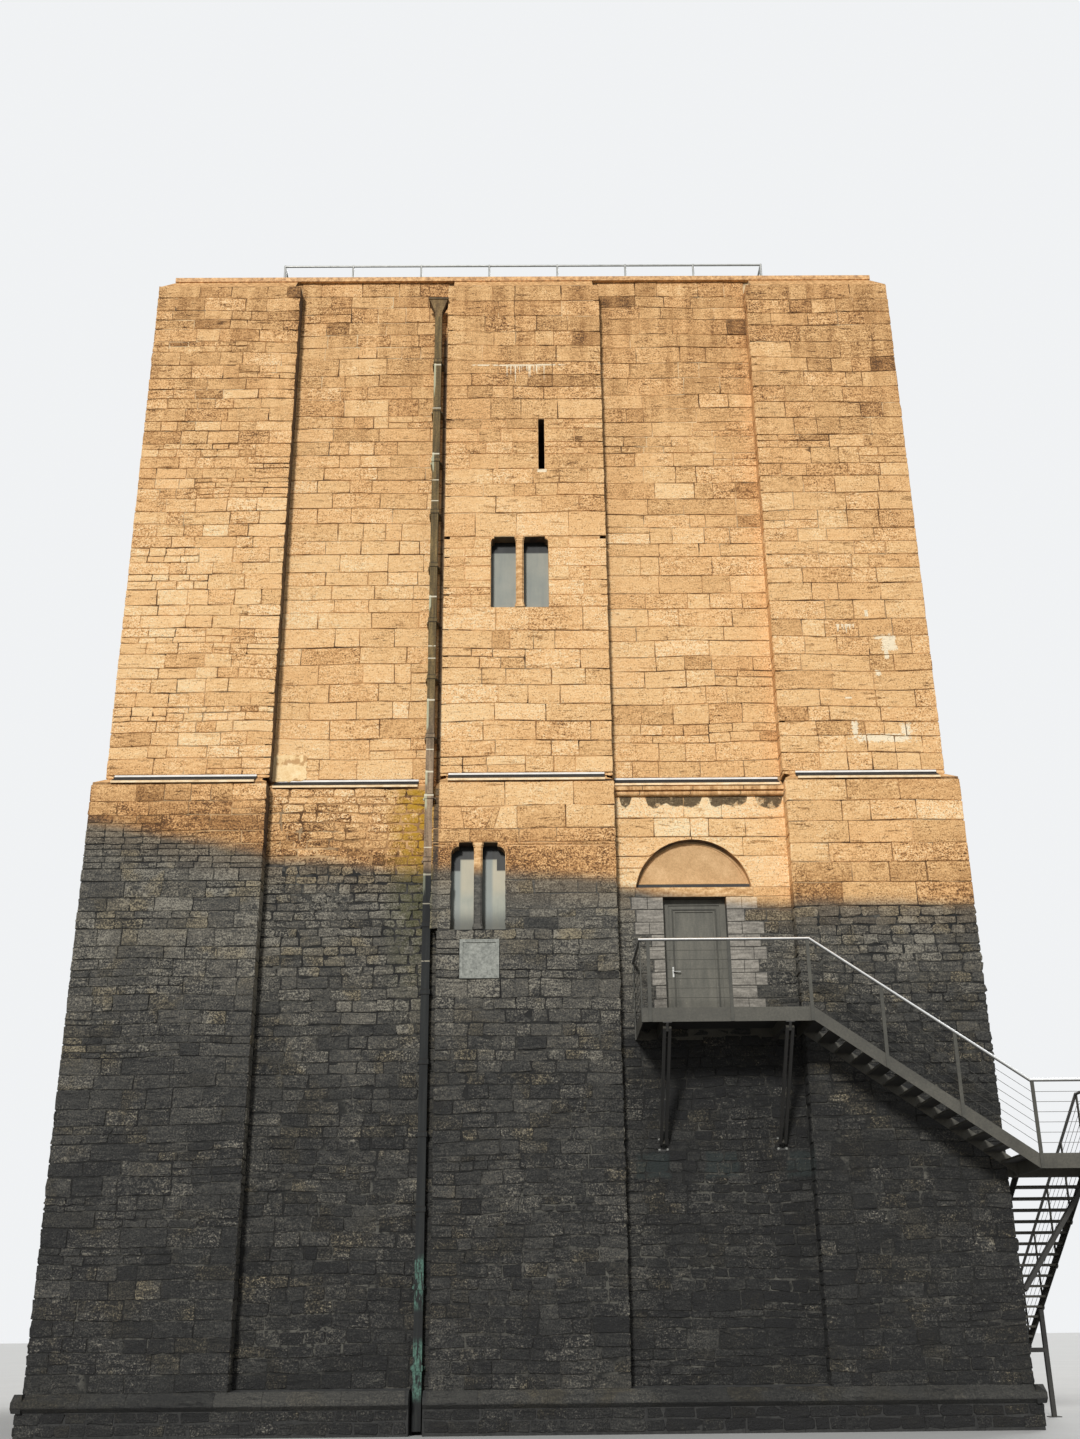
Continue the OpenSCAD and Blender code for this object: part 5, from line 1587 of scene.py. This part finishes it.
def window_glass():
    """Dusty panes: dark at the foot, grey-green in the middle, a painted tan reflection near the head, a painted shadow
    down the left side of each light and painted black shadow under the head.
    """
    material, place = start_finish("window_glass")
    x, z = place.part("X"), place.part("Z")
    drip = place.stretched(6.0, 6.0, 0.8).noise(1.5, 4.0)
    value = place.noise(1.7, 4.0, 0.6) * 0.6 + drip * 0.4
    colour = value.ramp((0.36, tint(140, 144, 134)), (0.5, tint(160, 162, 148)), (0.64, tint(176, 174, 158)))
    left, right, low = low_holes[0][:3]
    middle, half = (left + right) / 2, (right - left) / 2
    low_head, up_head, up = z - low_window[1][3], z - up_window[1][3], z - up_holes[0][2]
    upper = z.step(offset_z, offset_z + 1)
    lower = 1 - upper

    # A painted shadow of the left reveal lies down the left side of each light.
    from_left = x - left - x.step(middle, middle + 0.02) * (middle + 0.09 - left)
    reveal_shadow = 1 - from_left.step(0.14, 0.20)
    # A painted tan reflection lies near the head.
    tan = low_head.step(-1.05, -0.80) * lower + up_head.step(-0.9, -0.6) * upper * 0.25
    colour = (tan * (1 - reveal_shadow) * 0.45).mixed(colour, tint(204, 190, 160))
    colour = (reveal_shadow * 0.7).mixed(colour, tint(132, 140, 138))
    colour = (upper * 0.45).mixed(colour, tint(112, 118, 118))
    foot = (1 - z.step(low + 0.10, low + 0.52)) * 0.8 + upper * (1 - up.step(0.0, 0.12)) * 0.3
    colour = foot.mixed(colour, tint(66, 68, 62))
    # The black under the head, stepped at the lower window's shoulders, is a painted shadow.
    shoulder = (x - middle).size().step(half - 0.17, half - 0.16) * low_head.step(-0.50, -0.46)
    head = low_head.step(-0.28, -0.24).largest(shoulder) * lower + up_head.step(-0.27, -0.23) * upper
    colour = (head * 0.97).mixed(colour, tint(16, 17, 16))
    finish = end_finish(material, colour, 0.34 + drip * 0.2, value, 0.001, 0.2)
    finish.node_tree.nodes["Principled BSDF"].inputs["Specular IOR Level"].default_value = 0.22
    return finish


finishes["window_glass"] = window_glass()
coat("window_glass", "window_glass")

# %% [markdown]
# ## Handrail tubes, bolts and mullions
# The handrail is a bright stainless tube on painted posts. A tube is a ring of points
# that is set at each bend of a path; half-way directions keep its bends mitred. The
# same ring of six points, pushed out a little, is a bolt head.

# %% Tubes and bolt heads


def skin(faces, first, ring, layers, back=True):
    """Faces round a stack of rings with equally many points, and over its two ends."""
    for k in range(layers - 1):
        low, high = first + k * ring, first + (k + 1) * ring
        for s in range(ring):
            t = (s + 1) % ring
            faces.append([low + s, low + t, high + t, high + s])
    if back:
        faces.append([first + s for s in reversed(range(ring))])
    faces.append([first + (layers - 1) * ring + s for s in range(ring)])


def turns(sides):
    """Cosine and sine of equal steps round a circle."""
    return [(math.cos(2 * math.pi * s / sides), math.sin(2 * math.pi * s / sides)) for s in range(sides)]


def tube(points, faces, path, radius, sides=12):
    """Adds a round tube along a path."""
    path = [Vector(p) for p in path]
    first = len(points)
    up = Vector((0, 0, 1))
    for k, here in enumerate(path):
        before = (here - path[k - 1]).normalized() if k else (path[1] - here).normalized()
        after = (path[k + 1] - here).normalized() if k < len(path) - 1 else before
        along = (before + after).normalized()
        stretch = 1 / max(along.dot(before), 0.5)
        flat_before, flat_after = before.cross(up).normalized(), after.cross(up).normalized()
        across = (flat_before + flat_after).normalized()
        rise = across.cross(along).normalized()
        sideways = abs(flat_before.dot(flat_after)) < 0.9
        wide, tall = radius * (stretch if sideways else 1.0), radius * (1.0 if sideways else stretch)
        points += [here + across * (wide * c) + rise * (tall * s) for c, s in turns(sides)]
    skin(faces, first, sides, len(path))


def bolt_head(points, faces, at, outward, radius=0.016, height=0.012):
    """Adds a six-sided head with a washer, standing on a face at a point."""
    outward = Vector(outward).normalized()
    across = outward.orthogonal().normalized()
    other = outward.cross(across)
    for size, low, high, sides in ((radius * 1.55, -0.002, 0.003, 12), (radius, 0.003, height, 6)):
        first = len(points)
        for depth in (low, high):
            points += [Vector(at) + across * size * c + other * size * s + outward * depth for c, s in turns(sides)]
        skin(faces, first, sides, 2, back=False)


print("tubes and bolts can be made")

# %% [markdown]
# The rail runs along the platform, down the upper flight, round the landing and down
# the lower flight. Its path is measured from the platform and the landing.

# %% Handrail of the stair
HANDRAIL_D, RAIL_OUT, EDGE_H = 0.050, 0.010, 0.240
deck_low, deck_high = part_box("door_platform")
rail_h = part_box("platform_railing")[1].z - deck_high.z - HANDRAIL_D / 2
land_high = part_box("corner_landing")[1]
deck_z, land_z = deck_high.z + rail_h, land_high.z + rail_h
start_x, side_x = deck_low.x - RAIL_OUT, land_high.x + RAIL_OUT
front_y = deck_low.y - RAIL_OUT
rail_path = [
    (start_x, -bay_face, deck_z), (start_x, front_y, deck_z), (deck_high.x, front_y, deck_z),
    (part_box("landing_railing")[0].x, front_y, land_z), (side_x, front_y, land_z), (side_x, land_high.y, land_z),
    (side_x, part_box("lower_flight_railing")[1].y, rail_h),
]
points, faces = [], []
tube(points, faces, rail_path, HANDRAIL_D / 2 + 0.0025)
make_piece("stair_handrail_tube", points, faces, "stainless")
print("handrail tube is", round(sum(math.dist(a, b) for a, b in zip(rail_path, rail_path[1:])), 2), "m long")

# %% [markdown]
# Each strut's plate is held by four bolts, and each post by two. The plates and posts
# are found among the points of the solids.

# %% Bolts of the struts and posts
PLATE_DX, PLATE_DZ, PLATE_T, POST_BOLTS = 0.070, 0.085, 0.015, (0.06, 0.18)
bolts, bolt_faces = [], []
plate_points = points_of("stair_struts")
plate_points = plate_points[(plate_points[:, 0] < corner_in) & (plate_points[:, 1] > -bay_face - PLATE_T - 1e-3)]
plate_z = (plate_points[:, 2].min() + plate_points[:, 2].max()) / 2
between_struts = (plate_points[:, 0].min() + plate_points[:, 0].max()) / 2
for group in (plate_points[plate_points[:, 0] < between_struts], plate_points[plate_points[:, 0] > between_struts]):
    middle = (group[:, 0].min() + group[:, 0].max()) / 2
    for dx in (-PLATE_DX, PLATE_DX):
        for dz in (-PLATE_DZ, PLATE_DZ):
            bolt_head(bolts, bolt_faces, (middle + dx, -bay_face - PLATE_T, plate_z + dz), (0, -1, 0), 0.013)
post_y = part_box("platform_railing")[0].y
posts = points_of("platform_railing")
feet = posts[(posts[:, 1] < post_y + 1e-3) & (posts[:, 2] < deck_high.z - EDGE_H + 1e-3)]
fronts = sorted({near(x, 3) for x in feet[:, 0]})
for low_x, high_x in zip(fronts[::2], fronts[1::2]):
    for down in POST_BOLTS:
        bolt_head(bolts, bolt_faces, ((low_x + high_x) / 2, post_y, deck_high.z - down), (0, -1, 0), 0.011)
make_piece("strut_and_post_bolts", bolts, bolt_faces, "zinc")
print("bolts:", len(bolt_faces) // 20)

# %% [markdown]
# The twin windows have slender mullions with a small cap and base. Each is a stack of
# chamfered outlines, from the base's block up to the cap's, and the same stack stands
# in every window of the four sides.

# %% Mullions with caps and bases


def mullion(points, faces, quarter, x, distance, sill, head, half):
    """Adds one mullion as a stack of six-sided outlines, each a height over the sill and a swelling."""
    panel = wall_panel(quarter, distance)
    out, back, cut = 0.020, -0.10, 0.028
    stack = [(0.0, 0.024), (0.050, 0.024), (0.070, 0.008), (0.090, 0.014), (0.110, 0.0)]
    stack += [(head - sill - z, extra) for z, extra in reversed(stack)]
    first = len(points)
    for z, extra in stack:
        w, front = half + extra, out + extra * 0.5
        for u, d in ((-w, back), (-w, front - cut), (-w + cut, front), (w - cut, front), (w, front - cut), (w, back)):
            xy = panel.base + panel.along * (x + u) + panel.outward * d
            points.append((xy[0], xy[1], sill + z))
    skin(faces, first, 6, len(stack))


LIGHT_WIDTH = 0.43
points, faces = [], []
half_mullion = near((low_holes[0][1] - low_holes[0][0]) / 2 - LIGHT_WIDTH)
for quarter in range(4):
    for window, distance in ((low_window, face), (up_window, up_face)):
        middle = (window[0][0] + window[0][1]) / 2
        mullion(points, faces, quarter, middle, distance, window[0][2], window[1][3], half_mullion)
make_piece("window_mullions", points, faces, "dressed_stone")
print("mullions:", 8, "with half a width of", half_mullion)

# %% [markdown]
# One patch of old lime plaster clings to the wall over the offset, a finger thick. It
# is a plate with a ragged outline, pressed over the stones so that the joints go
# under it.

# %% Plaster patch


def ragged(left, right, low, high, rng, points=40, rough=0.12):
    """A ragged outline inside a rectangle, anticlockwise."""
    outline = []
    for c, s in turns(points):
        reach = min(1 / max(abs(c), abs(s)), 1.32) * (1 - rough * rng.random())
        across, up = (min(max(reach * v, -1), 1) for v in (c, s))
        outline.append(((left + right) / 2 + (right - left) / 2 * across, (low + high) / 2 + (high - low) / 2 * up))
    return outline


plaster = Heap(77)
patch_outline = ragged(-4.97, -4.26, 11.44, 12.02, plaster.rng)
plaster.put_shape(wall_panel(0, up_bay_face), patch_outline, STYLES["plaster"], 0.5)
raise_heap(plaster, "plaster_patch", "lime_plaster")

# %% [markdown]
# The panel in the arch has a thin bead round it and stands on a sill in the struts'
# near-black paint, a painted shadow line at its foot. The door's leaf has a raised bead
# round its sunk panel. All three are strips with a small chamfered section, drawn along
# a path in the wall's own plane.

# %% Beads of the arch panel and the door


def strip(points, faces, path, width, low_out, high_out):
    """Adds a chamfered strip along a path of (x, z), from one distance in front of the middle to another."""
    first = len(points)
    cut, half = min(width, abs(high_out - low_out)) * 0.3, width / 2
    section = [(-half, low_out), (-half, high_out - cut), (-half + cut, high_out)]
    section += [(-across, out) for across, out in reversed(section)]
    for k, (x, z) in enumerate(path):
        before, after = path[max(k - 1, 0)], path[min(k + 1, len(path) - 1)]
        ins = Vector((x - before[0], z - before[1])) if k else Vector((after[0] - x, after[1] - z))
        outs = Vector((after[0] - x, after[1] - z)) if k < len(path) - 1 else ins
        along = (ins.normalized() + outs.normalized()).normalized()
        stretch = 1 / max(along.dot(ins.normalized()), 0.5)
        points += [(x - along.y * across * stretch, -out, z + along.x * across * stretch) for across, out in section]
    skin(faces, first, len(section), len(path))


def raise_strips(name, rows, finish):
    """One piece from strips, each with a path, a width and how far it stands out between two distances."""
    points, faces = [], []
    for row in rows:
        strip(points, faces, *row)
    make_piece(name, points, faces, finish)


SUNK = 0.004
panel_out = -near(arch_low.y)
ring_r = arch[2] - 0.040
start_angle = math.asin((arch_low.z + 0.10 - arch[1]) / ring_r)
angles = [start_angle + (math.pi - 2 * start_angle) * k / 48 for k in range(49)]
ring_path = [(arch[0] + ring_r * math.cos(a), arch[1] + ring_r * math.sin(a)) for a in angles]
reach, bar_z, sill_z = ring_r * math.cos(start_angle), arch_low.z + 0.118, arch_low.z + 0.053
bar_path = [(arch[0] - reach, bar_z), (arch[0] + reach, bar_z)]
sill_path = [(arch_low.x + 0.012, sill_z), (arch_high.x - 0.012, sill_z)]
raise_strips("arch_panel_bead", [
    (ring_path, 0.030, panel_out - SUNK, panel_out + 0.018), (bar_path, 0.024, panel_out - SUNK, panel_out + 0.020),
], "arch_render")
# The sill's near-black paint is a painted shadow line at the panel's foot.
raise_strips("arch_panel_sill", [(sill_path, 0.106, panel_out - SUNK, panel_out + 0.030)], "strut_paint")
leaf_low, leaf_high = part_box("door_leaf")
leaf_out, inset = -near(leaf_low.y), 0.075
left, right, low, high = leaf_low.x + inset, leaf_high.x - inset, leaf_low.z + inset, leaf_high.z - inset
leaf_path = [(left, low), (left, high), (right, high), (right, low), (left, low)]
raise_strips("door_leaf_bead", [(leaf_path, 0.026, leaf_out - SUNK, leaf_out + 0.010)], "post_paint")
print("the arch bead has a radius of", round(ring_r, 3), "and the door bead stands", inset, "from the leaf's edge")

# %% [markdown]
# The roof is covered with lead sheets, joined over rolls: half-round battens that run
# across the roof every 0.7 m. They only show from above.

# %% Lead rolls of the roof
ROLL_BAYS, ROLL_STEPS, ROLL_HALF, ROLL_H, ROLL_END = 22, 6, 0.030, 0.040, 0.12
roof_low, roof_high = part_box("roof_covering")
points, faces = [], []
ring = ROLL_STEPS + 1
for k in range(1, ROLL_BAYS):
    x = roof_low.x + (roof_high.x - roof_low.x) * k / ROLL_BAYS
    first = len(points)
    for y in (roof_low.y + ROLL_END, roof_high.y - ROLL_END):
        for a in [math.pi * s / ROLL_STEPS for s in range(ring)]:
            points.append((x + ROLL_HALF * math.cos(a), y, roof_high.z - SUNK + ROLL_H * math.sin(a)))
    faces += [[first + s, first + s + 1, first + ring + s + 1, first + ring + s] for s in range(ROLL_STEPS)]
    faces.append([first + s for s in range(ring)])
    faces.append([first + ring + s for s in reversed(range(ring))])
make_piece("roof_lead_rolls", points, faces, "roof_lead")
print("lead rolls:", ROLL_BAYS - 1)

# %% [markdown]
# ## Camera, light and floor
# The camera stands at eye height, 26 m in front of the tower, tilted up by 22 degrees.
# Its angles and its lens were solved from the upright edges and the level courses. A
# low broad sun from almost in front, a soft one from behind and an even sky light the
# walls at the level at which a colour looks as it was noted. The pale floor throws
# less light back than it shows to the camera, as dark paving would.

# %% Camera
CAMERA_PLACE = (0.027, -34.768, 1.571)
FOCAL_LENGTH, FRAME_HEIGHT, SENSOR = 1479.6, 1439, 36.0
YAW, PITCH, ROLL = math.radians(0.526), math.radians(22.42), math.radians(-0.578)
side = Vector((math.cos(YAW), -math.sin(YAW), 0))
ahead = Vector((math.sin(YAW), math.cos(YAW), 0))
look = ahead * math.cos(PITCH) + Vector((0, 0, math.sin(PITCH)))
upward = -ahead * math.sin(PITCH) + Vector((0, 0, math.cos(PITCH)))
image_x = side * math.cos(ROLL) + upward * math.sin(ROLL)
image_y = -side * math.sin(ROLL) + upward * math.cos(ROLL)
camera_data = bpy.data.cameras.new("camera")
camera_data.lens = SENSOR * FOCAL_LENGTH / FRAME_HEIGHT
camera_data.sensor_width = SENSOR
camera = bpy.data.objects.new("camera", camera_data)
turned = Matrix((image_x, image_y, -look)).transposed().to_4x4()
camera.matrix_world = Matrix.Translation(CAMERA_PLACE) @ turned
bpy.context.scene.collection.objects.link(camera)
bpy.context.scene.camera = camera
print("camera stands at", [round(v, 2) for v in camera.location])

# %% [markdown]
# Two suns, the sky and the floor follow. The sky's strength differs between what the
# camera sees of it and what it gives the walls, so that a pale backdrop doesn't wash
# the stones out.

# %% Lights, sky and floor


def sun(name, azimuth, elevation, strength, spread, colour):
    """A sun that shines from azimuth degrees right of the front, at a height above the horizon."""
    a, e = math.radians(azimuth), math.radians(elevation)
    source = Vector((math.sin(a) * math.cos(e), -math.cos(a) * math.cos(e), math.sin(e)))
    data = bpy.data.lights.new(name, "SUN")
    data.energy = strength
    data.angle = math.radians(spread)
    data.color = colour
    lamp = bpy.data.objects.new(name, data)
    lamp.rotation_mode = "QUATERNION"
    lamp.rotation_quaternion = source.to_track_quat("Z", "Y")
    bpy.context.scene.collection.objects.link(lamp)


sun("key_light", -13, 21, 2.72, 8, (1.0, 0.99, 0.97))
sun("fill_light", 150, 38, 1.6, 30, (1.0, 1.0, 1.0))
world = bpy.data.worlds.new("sky")
world.use_nodes = True
bpy.context.scene.world = world
sky = world.node_tree


def seen_directly(tree):
    """1 for rays from the camera and for what shows in metal and glass."""
    rays = tree.nodes.new("ShaderNodeLightPath")
    kinds = ("Camera", "Glossy", "Transmission")
    camera_ray, glossy, through = (Wire(rays.outputs[f"Is {kind} Ray"]) for kind in kinds)
    return camera_ray.largest(glossy).largest(through)


background = sky.nodes["Background"]
background.inputs["Color"].default_value = (0.93, 0.945, 0.96, 1.0)
sky.links.new((0.36 + seen_directly(sky) * 0.58).socket, background.inputs["Strength"])

FLOOR_HALF = 300
floor_mesh = bpy.data.meshes.new("floor")
floor_corners = [(x * FLOOR_HALF, y * FLOOR_HALF, 0) for x, y in ((-1, -1), (1, -1), (1, 1), (-1, 1))]
floor_mesh.from_pydata(floor_corners, [], [(0, 1, 2, 3)])
floor = bpy.data.objects.new("floor", floor_mesh)
bpy.context.scene.collection.objects.link(floor)


def pale_floor():
    material, place = start_finish("pale_floor")
    value = place.noise(0.3, 5.0) * 0.6 + place.noise(2.0, 3.0) * 0.4
    pale = value.ramp((0.32, tint(196, 196, 194)), (0.68, tint(204, 204, 202)))
    return end_finish(material, seen_directly(place.tree).mixed(tint(120, 118, 114), pale), 0.9, value, 0.004, 0.3)


finishes["floor"] = pale_floor()
floor_mesh.materials.append(finishes["floor"])
floor.location.z = -0.001
bpy.context.scene.view_settings.view_transform = "Standard"
print("lights and floor are set")
